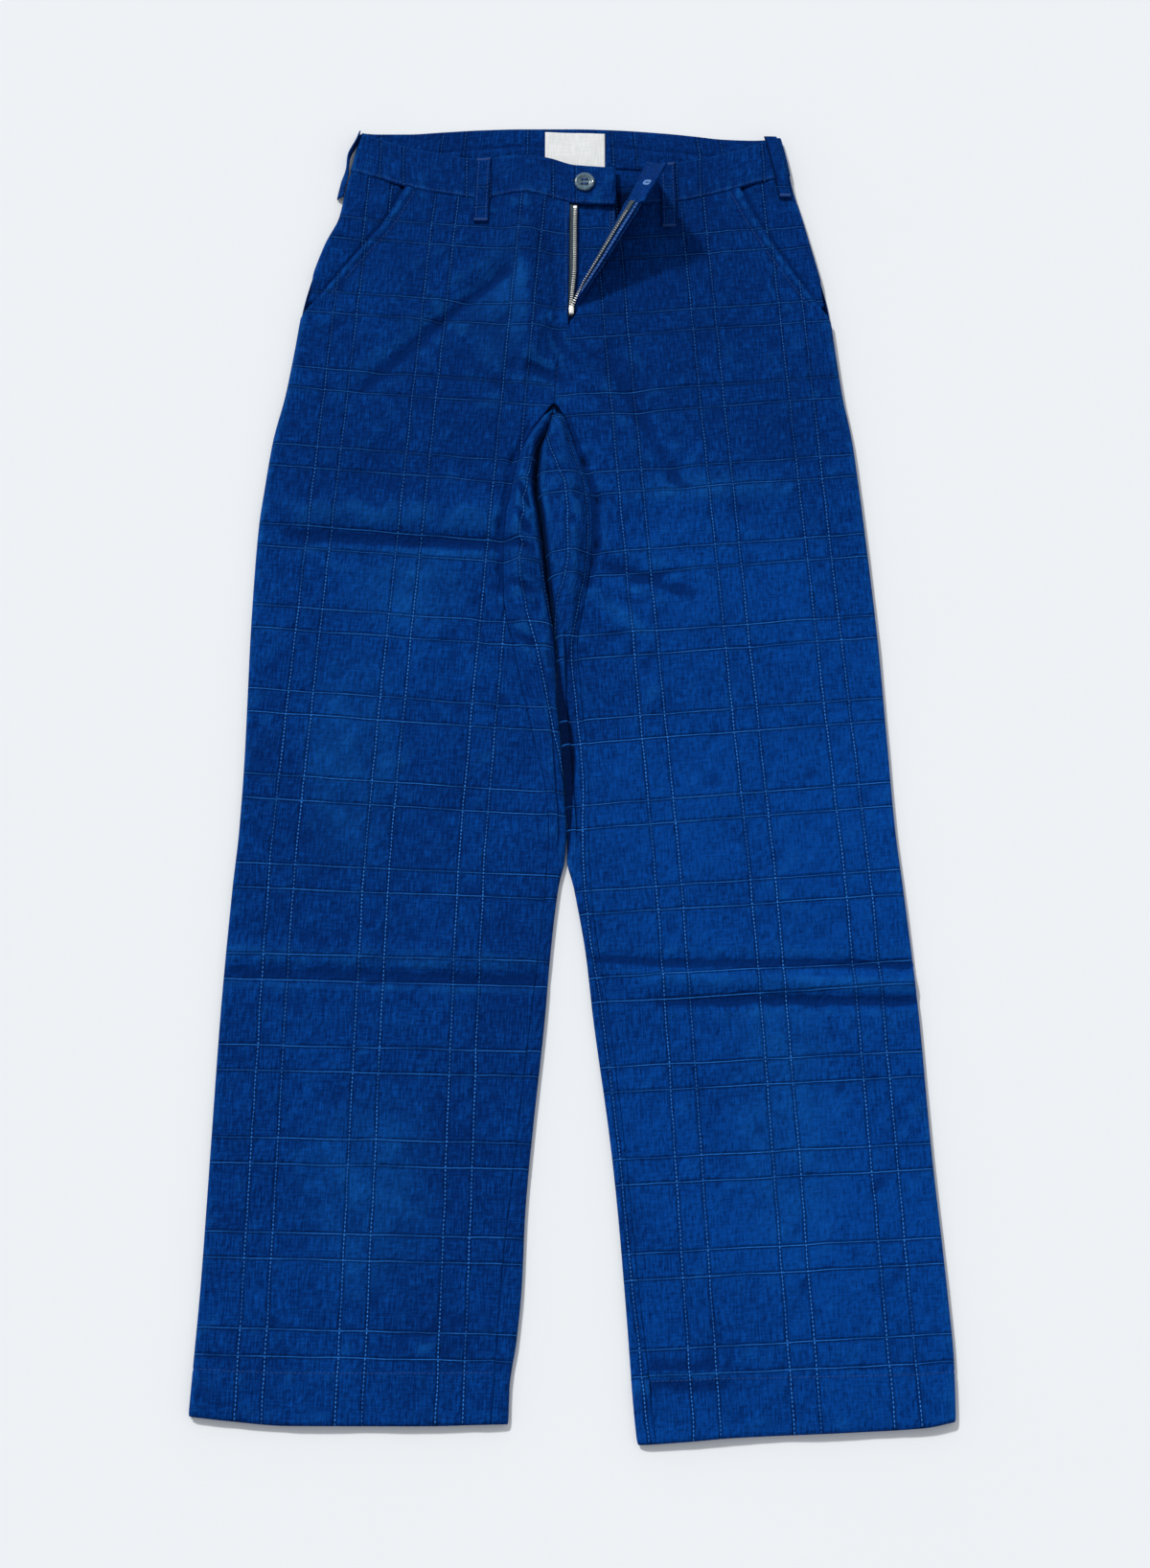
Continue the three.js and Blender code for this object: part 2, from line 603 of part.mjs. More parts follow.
// Inside of the fly on the left front: the panel's own columns, counted from the fly edge, moved in
function onFlap(columnFrom, columnTo, from, to) {
  const first = FRONT_ROWS.findIndex((row) => row > ZIP_FOOT.up + 5);
  const panel = skin(rightToLeft(frontGrid('left'), 'left'));
  const part = panel.slice(first).map((row) => row.slice(columnFrom, columnTo + 1));
  return wall(part, () => from - to, () => from);
}

function flyFacing() {
  const under = -(CLOTH + LAYER_GAP);
  return onFlap(0, 4, under, under - LINING_CLOTH);
}

function leftTape() {
  const under = -(CLOTH + LINING_CLOTH + 2.3 * LAYER_GAP);
  return onFlap(1, 2, under, under - TAPE_CLOTH);
}

function rightTape() {
  const under = -(CLOTH + LAYER_GAP);
  const shown = (up) => lerp(3.6, 6.5, smooth(890, 940, up));
  const place = (across, up) => [foldAt('right', up) + (across < 0 ? across : across * shown(up)), up];
  return layer('right', [-5, 0, 1], even(892, BAND_LINE - 9, 6), place, under, under - TAPE_CLOTH);
}

// The slider at the foot of the zip: a tapered block with rounded ends
function zipSlider() {
  const shape = new THREE.Shape();
  shape.moveTo(-1.7, -3.6);
  shape.lineTo(1.7, -3.6);
  shape.quadraticCurveTo(2.3, 0, 2.2, 3);
  shape.quadraticCurveTo(0, 4.4, -2.2, 3);
  shape.quadraticCurveTo(-2.3, 0, -1.7, -3.6);
  const bevel = { bevelThickness: 0.4, bevelSize: 0.4, bevelSegments: 1 };
  const geometry = new THREE.ExtrudeGeometry(shape, { depth: 1.4, curveSegments: 4, ...bevel });
  const seat = clothHeight(SLIDER.x, SLIDER.up) - CLOTH + 0.3;
  geometry.translate(SLIDER.x - MIDDLE.x, SLIDER.up - MIDDLE.up, seat);
  return geometry;
}

function button() {
  const shape = new THREE.Shape();
  shape.absarc(0, 0, BUTTON.radius - 0.7, 0, 2 * Math.PI, false);
  for (const [x, y] of [[1, 1], [-1, 1], [-1, -1], [1, -1]]) {
    const hole = new THREE.Path();
    hole.absarc(x * BUTTON.spread, y * BUTTON.spread, BUTTON.hole, 0, 2 * Math.PI, true);
    shape.holes.push(hole);
  }
  const bevel = { bevelThickness: 0.6, bevelSize: 0.6, bevelSegments: 2 };
  const depth = BUTTON.depth - 1.2;
  const geometry = new THREE.ExtrudeGeometry(shape, { depth, curveSegments: 8, ...bevel });
  const seat = clothHeight(BUTTON.x, BUTTON.up) + BAND_RAISE + LAYER_GAP + 0.6;
  geometry.translate(BUTTON.x - MIDDLE.x, BUTTON.up - MIDDLE.up, seat);
  return geometry;
}

function label() {
  const level = BAND_CLOTH + LAYER_GAP;
  const grid = even(LABEL.low, LABEL.high, 3).map((up) => even(LABEL.from, LABEL.to, 3).map((x) => {
    const lean = 0.03 * x;
    return [x, up - lean, level + LABEL.depth];
  }));
  return wall(skin(grid), () => LABEL.depth);
}

// Belt loops on the front: a strap over the band, held at both ends
function frontLoop(side, top, foot, footUp) {
  const columns = [-1, 0, 1];
  const place = (across, t) => {
    const x = lerp(top, foot, 1 - t) + across * LOOP.half;
    return [x, lerp(footUp, read(BAND_EDGES, 'x', 'high', x) - 0.5, t)];
  };
  const lift = BAND_RAISE + LAYER_GAP + LOOP.depth;
  return layer(side, columns, even(0, 1, 6), place, lift, lift - LOOP.depth);
}

// Loop at the right side seam: on edge and bowed out beside the band, leaning outwards below it
function rightSideLoop() {
  const grid = even(0, 1, 10).map((t) => {
    const up = lerp(1004, 1066, t);
    const bow = 4 * Math.exp(-(((t - 0.64) / 0.2) ** 2));
    const lean = 5.5 * (1 - smooth(0.25, 0.6, t));
    const x = seamAt('right', up) - 2 * SEAM_GAP - LOOP.depth - bow;
    return [[x + 1 - lean, up, 0.3 + 0.15 * lean], [x - 0.6 * lean, up, 4.5], [x + 1, up, 9.5 - 0.35 * lean]];
  });
  return wall(skin(grid), () => LOOP.depth);
}

function leftSideLoop() {
  const place = (across, t) => {
    const up = lerp(1001, 1060, t);
    return [seamAt('left', up) - 9 + across * 5.5, up];
  };
  const lift = BAND_RAISE + LAYER_GAP + LOOP.depth;
  return layer('left', [-1, 0, 0.9], even(0, 1, 6), place, lift, lift - LOOP.depth);
}

const indigo = () => new THREE.MeshStandardMaterial({ color: 0x0b3474, roughness: 0.9 });
const teal = () => new THREE.MeshStandardMaterial({ color: 0x4a5f6b, roughness: 0.35 });
const white = () => new THREE.MeshStandardMaterial({ color: 0xf2f2f0, roughness: 0.8 });
const metal = () => new THREE.MeshStandardMaterial({ color: 0xb9b2a0, roughness: 0.35, metalness: 1 });
const tapeGrey = () => new THREE.MeshStandardMaterial({ color: 0x5d6d78, roughness: 0.9 });

const trousers = new THREE.Group();

function add(name, geometry, material) {
  const mesh = new THREE.Mesh(geometry, material);
  mesh.name = name;
  trousers.add(mesh);
}

for (const side of ['right', 'left']) {
  add(`${side}_front`, frontPanel(side), indigo());
  add(`${side}_back`, backPanel(side), indigo());
  add(`${side}_pocket_facing`, pocketFacing(side), indigo());
  add(`waistband_${side}_front`, frontBand(side), indigo());
}
add('waistband_back', backBand(), indigo());
add('fly_shield', flyShield(), indigo());
add('fly_facing', flyFacing(), indigo());
add('zip_tape_right', rightTape(), tapeGrey());
add('zip_tape_left', leftTape(), tapeGrey());
add('zip_slider', zipSlider(), metal());
add('button', button(), teal());
add('label', label(), white());
add('belt_loop_right_front', frontLoop('right', -76, -78, 978), indigo());
add('belt_loop_left_front', frontLoop('left', 77, 78, 972), indigo());
add('belt_loop_right_side', rightSideLoop(), indigo());
add('belt_loop_left_side', leftSideLoop(), indigo());

export default trousers;
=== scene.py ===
"""Sashiko trousers laid out flat with the fly open: cloth, sewing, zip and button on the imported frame."""

import bpy
import numpy as np
from bpy.props import FloatProperty, FloatVectorProperty, PointerProperty
from bpy.types import Operator, Panel, PropertyGroup
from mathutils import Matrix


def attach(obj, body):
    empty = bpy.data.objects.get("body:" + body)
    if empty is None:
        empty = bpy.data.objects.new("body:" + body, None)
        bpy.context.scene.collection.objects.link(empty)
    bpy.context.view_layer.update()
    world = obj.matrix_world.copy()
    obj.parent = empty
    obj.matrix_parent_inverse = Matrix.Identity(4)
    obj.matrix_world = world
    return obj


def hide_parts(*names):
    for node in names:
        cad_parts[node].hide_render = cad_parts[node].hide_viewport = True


bl_info = {
    "name": "Sashiko Trousers",
    "version": (1, 0, 0),
    "blender": (4, 5, 0),
    "location": "View3D > Sidebar > Trousers",
    "description": "Makes a pair of check trousers laid out flat, with their sewing, zip and button",
    "category": "Add Mesh",
}

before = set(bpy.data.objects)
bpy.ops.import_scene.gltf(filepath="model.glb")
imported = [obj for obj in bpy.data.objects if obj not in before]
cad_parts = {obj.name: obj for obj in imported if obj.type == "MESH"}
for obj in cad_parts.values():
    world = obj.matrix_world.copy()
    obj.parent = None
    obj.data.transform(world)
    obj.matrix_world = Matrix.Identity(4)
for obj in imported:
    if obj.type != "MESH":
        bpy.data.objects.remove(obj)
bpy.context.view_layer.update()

# Lengths in the tables are millimetres on the garment: x across from its middle, up from the hem line.
# x grows towards the wearer's left. Meshes are made in metres in the part's own frame.
MM = 0.001
MIDDLE = (-2.0, 528.5)

CLOTH = 1.4
HEM_CLOTH = 2.0
BAND_CLOTH = 2.6
LINING_CLOTH = 1.2
TAPE_CLOTH = 0.7
SEAM_GAP = 0.4
BAND_GAP = 0.9
# How far each side moves over to close the source's gap at the centre seams
SEAM_CLOSE = 0.76
LAYER_GAP = 0.4
SEAM_HEIGHT = 3.0
SEAM_PART = {"panel": 0.95, "band": 1.2}
FOLD_RADIUS = 4.5
HEM_DEPTH = 37.0
HEM_RAISE = 0.5
BAND_LINE = 1006.0
BAND_DEPTH = 36.0
BAND_RAISE = 0.6
CROTCH_UP = 812.0
ZIP_FOOT = (-5.0, 884.0)
POCKET_FOOT = {"right": 890.0, "left": 886.0}
POCKET_HEAD = {"right": -141.0, "left": 137.0}
POCKET_UNDER = 12.0
POCKET_SEWING = 8.5
SHIELD_EDGE = 34.0
SLIDER = (-2.9, 896.6)
BUTTON = (8.0, 1016.0)
LABEL_HALF = 25.0
LABEL_LOW = 1031.0
LABEL_HIGH = 1067.0
LABEL_CLOTH = 0.8
LOOP_HALF = 6.0
LOOP_DEPTH = 1.5
LOOP_LIFT = BAND_RAISE + LAYER_GAP + LOOP_DEPTH
# Belt loops on the front: side, x of the top, x of the foot, how far up the foot is
FRONT_LOOPS = (("right", -76, -78, 978), ("left", 77, 78, 972))
# How far under the upper cloth's outside the shield lies
SHIELD_DEPTH = CLOTH + LINING_CLOTH + TAPE_CLOTH + 3.2 * LAYER_GAP
# Heights at which the side seams are measured for the halves of the band
FRONT_BAND_UP = 1040.0
BACK_BAND_UP = 1050.0
JOIN_FROM = 796.0
JOIN_TO = 830.0
ROLL_CROWN = 0.6
FLAP = {"foot": 27.0, "start": 3.0, "full": 26.0}
INWARD = {"right": 1.0, "left": -1.0}


def table(names, *rows):
    """Named columns of a short table."""
    return dict(zip(names.split(), np.array(rows, dtype=float).T))


SIDE_SEAM = table(
    "up right left",
    (-20, -278, 272), (40, -275, 273), (100, -272, 270), (200, -269, 263), (300, -266, 258),
    (400, -261, 250), (450, -257.5, 245.5), (520, -255.5, 242), (600, -255, 238), (650, -254, 234.5),
    (700, -252, 230.5), (740, -248, 227), (780, -243, 223), (820, -234.5, 216.5), (860, -228.5, 212),
    (900, -223, 207.5), (930, -216, 201), (960, -206.5, 194), (985, -195.5, 188), (1010, -191, 181.5),
    (1040, -184.5, 176.5), (1075, -177.5, 169),
)
INNER_FOLD = table(
    "up right left",
    (-20, -48, 47), (25, -47, 41.5), (60, -42, 38.5), (100, -38.5, 35.5), (150, -36.5, 31.5),
    (200, -32.5, 26.5), (300, -22.5, 13.5), (350, -18.5, 8), (400, -13, -0.5), (425, -8.5, -5.5),
    (450, -7, -5.4), (480, -9, -7.4), (520, -11.5, -9.9), (560, -15, -13.4), (600, -16, -14.4),
    (650, -21.5, -20), (710, -28, -26.5), (740, -32, -30.5), (770, -30, -28.5), (790, -23, -21.5),
    (812, -17.8, -16.2), (850, -14.8, -13.2), (884, -5.8, -4.2), (897, -5.6, 1.5),
    (930, -5, -1), (1075, -4, -5),
)
CENTRE_BACK = table(
    "up right left",
    (812, -17.8, -16.2), (900, -9.8, -8.2), (1075, -2.8, -1.2),
)
INSEAM = table(
    "up right left",
    (-20, -61, 60), (100, -53.5, 46), (200, -43.5, 37), (300, -33, 25.5), (400, -22.5, 12.5),
    (450, -20, 10.5), (480, -22.5, 11), (520, -31, 8.5), (560, -40, 5), (600, -48, 2), (640, -56, 8),
    (675, -57, 13), (705, -56, 14.5), (735, -51.5, 12.5), (765, -45, 3), (785, -36.5, -3),
    (800, -26.5, -8.5), (812, -18.6, -15.4),
)
THICKNESS = table(
    "up height roll",
    (-20, 6.4, 0), (300, 6.2, 0), (560, 6.4, 0), (620, 6.6, 6), (680, 7, 11), (740, 7.6, 10),
    (785, 8, 5), (812, 8.4, 0), (900, 9, 0), (1000, 8.8, 0), (1075, 6.6, 0),
)
BAND_EDGES = table(
    "x low high back",
    (-192, 1031, 1068, 1069), (-167, 1023, 1060, 1067), (-143, 1014, 1052, 1067),
    (-112, 1007, 1045, 1069), (-80, 1002.5, 1040, 1071), (-45, 1006.5, 1044, 1072),
    (-22, 1003, 1041, 1072), (0, 998, 1034, 1072), (34, 996, 1032, 1071), (80, 998.5, 1036, 1067.5),
    (102, 1002.5, 1039.5, 1065), (126, 1009, 1045.5, 1062), (152, 1017, 1054, 1061),
    (185, 1027, 1064, 1064),
)
# How far below the back band's top edge the crease along its inside runs
BAND_CREASE = table("x down", (-115, 19), (-89, 18), (-25, 16), (27, 16), (70, 17), (120, 17))
HEM_LINE = table(
    "x up",
    (-278, 5.4), (-248, 2), (-205, -1.4), (-110, -1.6), (-48, -0.3), (40, -15), (77, -13), (112, -10),
    (200, -6), (250, -3), (273, 1.5),
)
FLAP_TURN = table("arc turn", (0, 0), (5, 98), (11, 119), (18, 122), (60, 122))
# How far the check's upright lines lean over with height, against where they stand at the hem
CHECK_LEAN = table(
    "up right left",
    (0, -1.8, 2.8), (68, 0, -1.1), (417, 9, -20.8), (467, 12, -25), (848, 41, -55), (1075, 60, -72),
)
# Largest folds, as in the source: a soft ridge or trough along a line from one place to another
FOLDS = table(
    "x1 up1 x2 up2 width rise",
    (-38, 985, -38, 870, 14, 5), (-62, 930, -160, 835, 12, -2.4), (-34, 842, -22, 838, 7, -2.5),
    (-215, 697, -64, 690, 8, -2.8), (-215, 720, -70, 714, 14, 2.4), (-250, 336, -30, 330, 6, -2.4),
    (-250, 352, -40, 346, 9, 1.8), (64, 329, 258, 325, 7, 3.6), (20, 345, 255, 342, 6, -2),
    (70, 311, 255, 312, 6, -2), (34, 668, 78, 652, 10, -2.6), (16, 640, 42, 622, 12, 3),
    (30, 850, 78, 750, 14, -2.2), (-21, 590, -18, 450, 8, 2.4), (-3, 590, 2, 450, 7, -2),
    (-108, 54, -70, 64, 6, 1.6), (46, 33, 105, 34, 5, 1.4),
)
# Main creases of the fronts: uneven in length, depth and spacing
CREASES = table(
    "x1 up1 x2 up2 width rise",
    (-60, 930, -108, 888, 5, -1.7), (-108, 888, -166, 832, 6, -1.1), (-58, 960, -96, 925, 8, 1.1),
    (-19, 952, -15, 905, 4, -1.5), (-15, 905, -14, 872, 3.5, -1.2), (-36, 846, -24, 840, 3, -1.6),
    (-58, 828, -52, 822, 8, -1.6), (-80, 752, -70, 744, 10, -1.4), (-80, 988, -40, 996, 5, 0.5),
    (-118, 992, -70, 985, 6, -0.5), (-212, 693, -120, 689, 3, -0.9), (-130, 690, -66, 688, 3.5, -1.3),
    (-26, 886, -39, 850, 6, 1.2), (-45, 712, -39, 700, 5, -1.1), (2, 652, 26, 650, 3, -0.9),
    (-190, 668, -110, 660, 7, 0.6), (-246, 331, -150, 327, 2.8, -0.7), (-150, 328, -30, 326, 2.6, -0.8),
    (-120, 340, -60, 336, 5, 0.6), (-230, 300, -140, 296, 8, 0.4), (60, 342, 150, 341, 3, -0.6),
    (160, 343, 250, 341, 3, -0.5), (72, 314, 168, 315, 3, -0.7), (180, 314, 250, 313, 3, -0.5),
    (50, 730, 166, 739, 9, 0.8), (60, 712, 130, 716, 8, -0.4), (36, 651, 80, 667, 4, -0.8),
    (3, 648, 44, 651, 5, 0.8), (28, 852, 52, 800, 6, -0.7), (52, 800, 80, 748, 8, -0.6),
    (96, 905, 128, 850, 9, 0.5), (140, 905, 176, 842, 8, -0.45), (-130, 940, -148, 905, 6, 0.45),
    (-185, 870, -205, 820, 8, -0.5), (-150, 800, -185, 760, 10, 0.5), (110, 780, 160, 768, 10, -0.5),
    (190, 700, 215, 640, 8, 0.4), (-100, 45, -84, 49, 3, 0.7), (-84, 49, -68, 57, 3, 0.8),
    (47, 32, 104, 33, 2.6, 0.7), (-274, 50, -262, 49, 2, -0.5), (-180, 24, -150, 30, 4, -0.3),
    (-230, 62, -190, 58, 5, 0.35), (150, 52, 196, 50, 5, 0.35), (210, 40, 244, 46, 4, -0.3),
    (-240, 560, -228, 470, 9, 0.5), (-96, 600, -86, 520, 9, -0.6), (-120, 470, -96, 400, 12, 0.4),
    (100, 600, 112, 520, 11, -0.4), (60, 560, 40, 470, 9, 0.5), (200, 480, 214, 400, 11, 0.4),
    (-60, 250, -76, 150, 9, 0.35), (70, 240, 84, 150, 10, -0.35), (160, 220, 178, 130, 12, 0.35),
    (-200, 220, -214, 120, 11, 0.3), (-160, 420, -148, 372, 8, -0.4), (150, 402, 190, 372, 8, 0.35),
    (38, 985, 62, 940, 7, -0.6), (128, 990, 124, 955, 5, 0.5), (-76, 638, -58, 560, 7, -1.5),
    (-56, 556, -36, 496, 6, -1.1), (-38, 790, -49, 764, 3, -1.3), (-50, 762, -59, 706, 3.5, -1.8),
    (-60, 704, -59, 650, 3.5, -1.6), (-6, 792, 7, 762, 3, -1.6), (8, 760, 17, 730, 3.5, -2.2),
    (18, 726, 18, 690, 3.5, -2.4), (17, 686, 9, 650, 3.5, -1.9), (-30, 780, -36, 742, 3, 0.8),
    (-44, 736, -36, 720, 3.5, -0.9), (-52, 690, -40, 684, 3, -0.8), (-50, 655, -38, 648, 3, -0.8),
    (-46, 610, -34, 602, 3, -0.8), (-26, 585, -18, 562, 3, -0.7), (4, 716, 10, 690, 4, 0.8),
    (-70, 1000, -44, 986, 5, -0.9), (-34, 996, -26, 960, 4, -0.9), (-52, 986, -46, 930, 6, 0.7),
    (-30, 936, -26, 896, 3.5, -0.8), (-20, 880, -10, 862, 3, -1.0), (-40, 868, -52, 846, 5, -0.9),
    (-14, 846, -10, 826, 3, -0.8), (4, 868, 22, 846, 5, -0.7), (10, 826, 34, 808, 5, -0.7),
    (-90, 964, -128, 940, 5, 0.6), (-120, 912, -96, 880, 6, 0.5), (96, 978, 120, 940, 6, -0.5),
    (-170, 905, -196, 880, 5, -0.5), (148, 930, 172, 900, 5, 0.5), (-70, 812, -100, 790, 6, 0.5),
)
# A fold above the right leg's hem that is kept from the paleness of wear and painted highlight on raised
# places
HEM_FOLDS = table("x1 up1 x2 up2 width rise", (-112, 54, -84, 60, 9, 1))
SHIELD_CREASES = table("x1 up1 x2 up2 width rise", (14, 900, 20, 985, 5, 1), (26, 890, 24, 960, 4, -1))
# Creases of the side that lies on the surface, where the cloth lifts a little off it
UNDER_CREASES = table(
    "x1 up1 x2 up2 width rise",
    (-150, 690, -60, 700, 7, 1.3), (-230, 660, -170, 668, 6, 0.9), (60, 676, 150, 664, 7, 1.2),
    (-240, 332, -120, 326, 5, 1.1), (-110, 330, -40, 324, 4, 0.8), (50, 328, 160, 333, 5, 1.1),
    (170, 330, 240, 326, 5, 0.8), (-120, 900, -70, 830, 9, 1.1), (60, 905, 110, 820, 9, 1.0),
    (-190, 960, -150, 930, 6, 0.7), (120, 965, 170, 925, 6, 0.7), (-60, 560, -48, 470, 8, 0.9),
    (60, 540, 44, 455, 8, 0.9), (-200, 520, -180, 420, 10, 0.7), (180, 560, 196, 450, 10, 0.7),
    (-110, 250, -90, 140, 9, 0.6), (130, 230, 150, 120, 9, 0.6), (-30, 1000, -22, 940, 6, 0.8),
)


def smooth(start, end, at):
    """0 before start, 1 after end, and 3t2 - 2t3 between them."""
    t = np.clip((at - start) / (end - start), 0, 1)
    return t * t * (3 - 2 * t)


def mix(first, second, t):
    """The value a share t of the way from first to second."""
    return first + (second - first) * t


def bell(away, width):
    """1 in the middle, and exp of minus (away / width) squared beside it."""
    return np.exp(-((away / width) ** 2))


def unit(vectors):
    """The same directions with length 1."""
    return vectors / np.maximum(np.linalg.norm(vectors, axis=-1, keepdims=True), 1e-9)


def read(rows, column, at):
    """Monotone cubic through a column against the table's first one. Its tangent at a row is the
    harmonic mean of the slopes there."""
    keys, values = next(iter(rows.values())), rows[column]
    slope = np.diff(values) / np.diff(keys)
    before, after = slope[:-1], slope[1:]
    total = np.where(before * after > 0, before + after, 1)
    between = np.where(before * after > 0, 2 * before * after / total, 0)
    tangent = np.concatenate([slope[:1], between, slope[-1:]])
    at = np.clip(at, keys[0], keys[-1])
    row = np.clip(np.searchsorted(keys, at) - 1, 0, len(keys) - 2)
    span = keys[row + 1] - keys[row]
    t = (at - keys[row]) / span
    bend = t * (1 - t) ** 2 * span * tangent[row] + t * t * (t - 1) * span * tangent[row + 1]
    return mix(values[row], values[row + 1], t * t * (3 - 2 * t)) + bend


def seam_at(side, up):
    return read(SIDE_SEAM, side, up)


def fold_at(side, up):
    """Inner fold of a leg. The two legs touch between the thighs, and the fronts at their centre seam."""
    touch = smooth(408, 426, up) * (1 - smooth(880, 892, up))
    return read(INNER_FOLD, side, up) + SEAM_CLOSE * INWARD[side] * touch


def back_edge(side, up):
    middle = read(CENTRE_BACK, side, up) + SEAM_CLOSE * INWARD[side]
    return np.where(up > CROTCH_UP, middle, fold_at(side, up))


def bells(rows, x, up):
    """Sum of the table's folds: each a bell across its line, exp of minus (across / width) squared,
    which fades in the same way past its ends over twice its width."""
    height = np.zeros(np.broadcast(x, up).shape)
    for x1, up1, x2, up2, width, rise in zip(*rows.values()):
        length = np.hypot(x2 - x1, up2 - up1)
        along = ((x - x1) * (x2 - x1) + (up - up1) * (up2 - up1)) / length
        across = ((x - x1) * (up2 - up1) - (up - up1) * (x2 - x1)) / length
        past = np.maximum(0, np.maximum(-along, along - length)) / (2 * width)
        height += rise * np.exp(-((across / width) ** 2) - past**2)
    return height


def loose_lie(x, up, seed=3, shortest=35, longest=120):
    """Slow unevenness of cloth that lies loose: the mean of twelve sine waves in scattered directions,
    with lengths from the shortest to the longest in millimetres."""
    scatter = np.random.default_rng(seed)
    height = np.zeros(np.broadcast(x, up).shape)
    for _ in range(12):
        heading, phase = scatter.uniform(0, np.pi), scatter.uniform(0, 6.28)
        length = scatter.uniform(shortest, longest)
        height += np.sin((x * np.cos(heading) + up * np.sin(heading)) * 2 * np.pi / length + phase)
    return height / 12


def puckers(along, away, length=9.0, reach=9.0):
    """Small gathers beside a row of stitches: an uneven sine along it, which dies out away from it."""
    wave = np.sin(2 * np.pi * along / length + 2.1 * np.sin(along / 23) + 1.3 * np.sin(along / 7.1))
    return wave * bell(away, reach)


def cloth_height(x, up):
    """Height of the upper cloth's outside: thickness, folds and hem as in the source, then creases,
    the loose lie and the gathers of the hem and the band's seam."""
    hem = HEM_RAISE * (1 - smooth(HEM_DEPTH - 2, HEM_DEPTH + 1, up))
    height = read(THICKNESS, "height", up) + bells(FOLDS, x, up) + hem
    band = read(BAND_EDGES, "low", x) - up
    detail = 1.15 * bells(CREASES, x, up) + 1.3 * loose_lie(x, up) + 0.5 * loose_lie(x, up, 11, 13, 34)
    detail += 0.24 * puckers(x, up - HEM_DEPTH, 11, 9) + 0.3 * puckers(x + 7, band, 13, 13)
    return height + detail


def round_edge(inside, radius):
    """Quarter circle from 0 at the edge to 1 a radius in."""
    t = np.clip(1 - inside / radius, 0, 1)
    return np.sqrt(1 - t * t)


def flap_section(arc, strength, steps=30):
    """The flap's cross section: cos and sin of the turn, added up along the arc from the flap's foot."""
    share = (np.arange(steps) + 0.5) / steps
    turn = np.radians(strength[..., None] * read(FLAP_TURN, "turn", share * arc[..., None]))
    return np.cos(turn).mean(-1) * arc, np.sin(turn).mean(-1) * arc


def on_top(side, x, up, part=SEAM_PART["panel"]):
    """Outside of the upper cloth over a place on the flat garment. Left of the zip's foot the cloth is
    a cone about it: the angle past the flap's foot runs along the flap's section."""
    x, up = np.broadcast_arrays(np.asarray(x, float), np.asarray(up, float))
    edge = round_edge(INWARD[side] * (x - seam_at(side, up)), FOLD_RADIUS)
    seam = SEAM_HEIGHT + part
    lying = np.stack([x, up, seam + (cloth_height(x, up) - seam) * edge], -1)
    dx, dup = x - ZIP_FOOT[0], up - ZIP_FOOT[1]
    reach, angle = np.hypot(dx, dup), np.degrees(np.arctan2(dx, dup))
    lifted = (dup > 0) & (angle < FLAP["foot"]) if side == "left" else np.zeros(x.shape, bool)
    if not lifted.any():
        return lying
    foot = np.radians(FLAP["foot"])
    crown = cloth_height(ZIP_FOOT[0] + reach * np.sin(foot), ZIP_FOOT[1] + reach * np.cos(foot))
    arc = np.clip(FLAP["foot"] - angle, 0, None)
    across, rise = flap_section(arc, smooth(FLAP["start"], FLAP["full"], reach))
    level = reach * np.cos(np.radians(rise))
    heading = np.radians(FLAP["foot"] - across)
    turned = np.stack(
        [
            ZIP_FOOT[0] + level * np.sin(heading),
            ZIP_FOOT[1] + level * np.cos(heading),
            crown + reach * np.sin(np.radians(rise)),
        ],
        -1,
    )
    return np.where(lifted[..., None], turned, lying)


def under_lift(x, up):
    """How far creases lift the lower cloth off the surface, 0 or more."""
    return np.clip(bells(UNDER_CREASES, x, up) + 0.5 * loose_lie(x, up, 8), 0, None)


def true_row(x, row, floor_side):
    """Moves nominal rows so that a panel follows the band above it and the hem below it."""
    top = read(BAND_EDGES, "back" if floor_side else "low", x) - BAND_GAP - BAND_LINE
    top = top - (BAND_DEPTH + 1 if floor_side else 0)
    hem = read(HEM_LINE, "up", x)
    return row + top * smooth(880, BAND_LINE, row) + hem * (1 - smooth(0, 70, row))


def panel_edge(side, row, floor_side):
    return seam_at(side, true_row(seam_at(side, row), row, floor_side))


def front_limits(side, row):
    """Outer and inner limit of a front in one row, by the slant pocket, the inseam and the fly."""
    pocket = np.clip((row - POCKET_FOOT[side]) / (BAND_LINE - POCKET_FOOT[side]), 0, 1)
    outer = mix(panel_edge(side, row, False), POCKET_HEAD[side], pocket)
    seam = np.where(row < CROTCH_UP, read(INSEAM, side, row), fold_at(side, row))
    return outer, seam - INWARD[side] * 0.1


def fly_width(side, row):
    return mix(40.0, 86.0, smooth(860, BAND_LINE, row)) if side == "left" else np.full(np.shape(row), 34.0)


def stretch(*parts):
    """A list of values, from its first one through stretches of (end, count)."""
    values = [np.array([parts[0]], float)]
    for end, count in parts[1:]:
        values.append(np.linspace(values[-1][-1], end, count + 1)[1:])
    return np.concatenate(values)


def round_steps(count):
    """Distances in from a rounded edge, at even angles round its quarter circle."""
    return FOLD_RADIUS * (1 - np.cos(np.linspace(0, np.pi / 2, count, False)))


def cloth_uv(side, x, up):
    """Place in the weave in millimetres: across between the check's upright lines, which lean with
    height, and along, square to them."""
    base, middle, row = (-241.8, -146.0, 65.1) if side == "right" else (81.7, 128.0, 55.7)
    lean = read(CHECK_LEAN, side, up)
    slope = (read(CHECK_LEAN, side, up + 60) - read(CHECK_LEAN, side, up - 60)) / 120
    return np.stack([x - lean - base, up + slope * (x - middle) - row], -1)


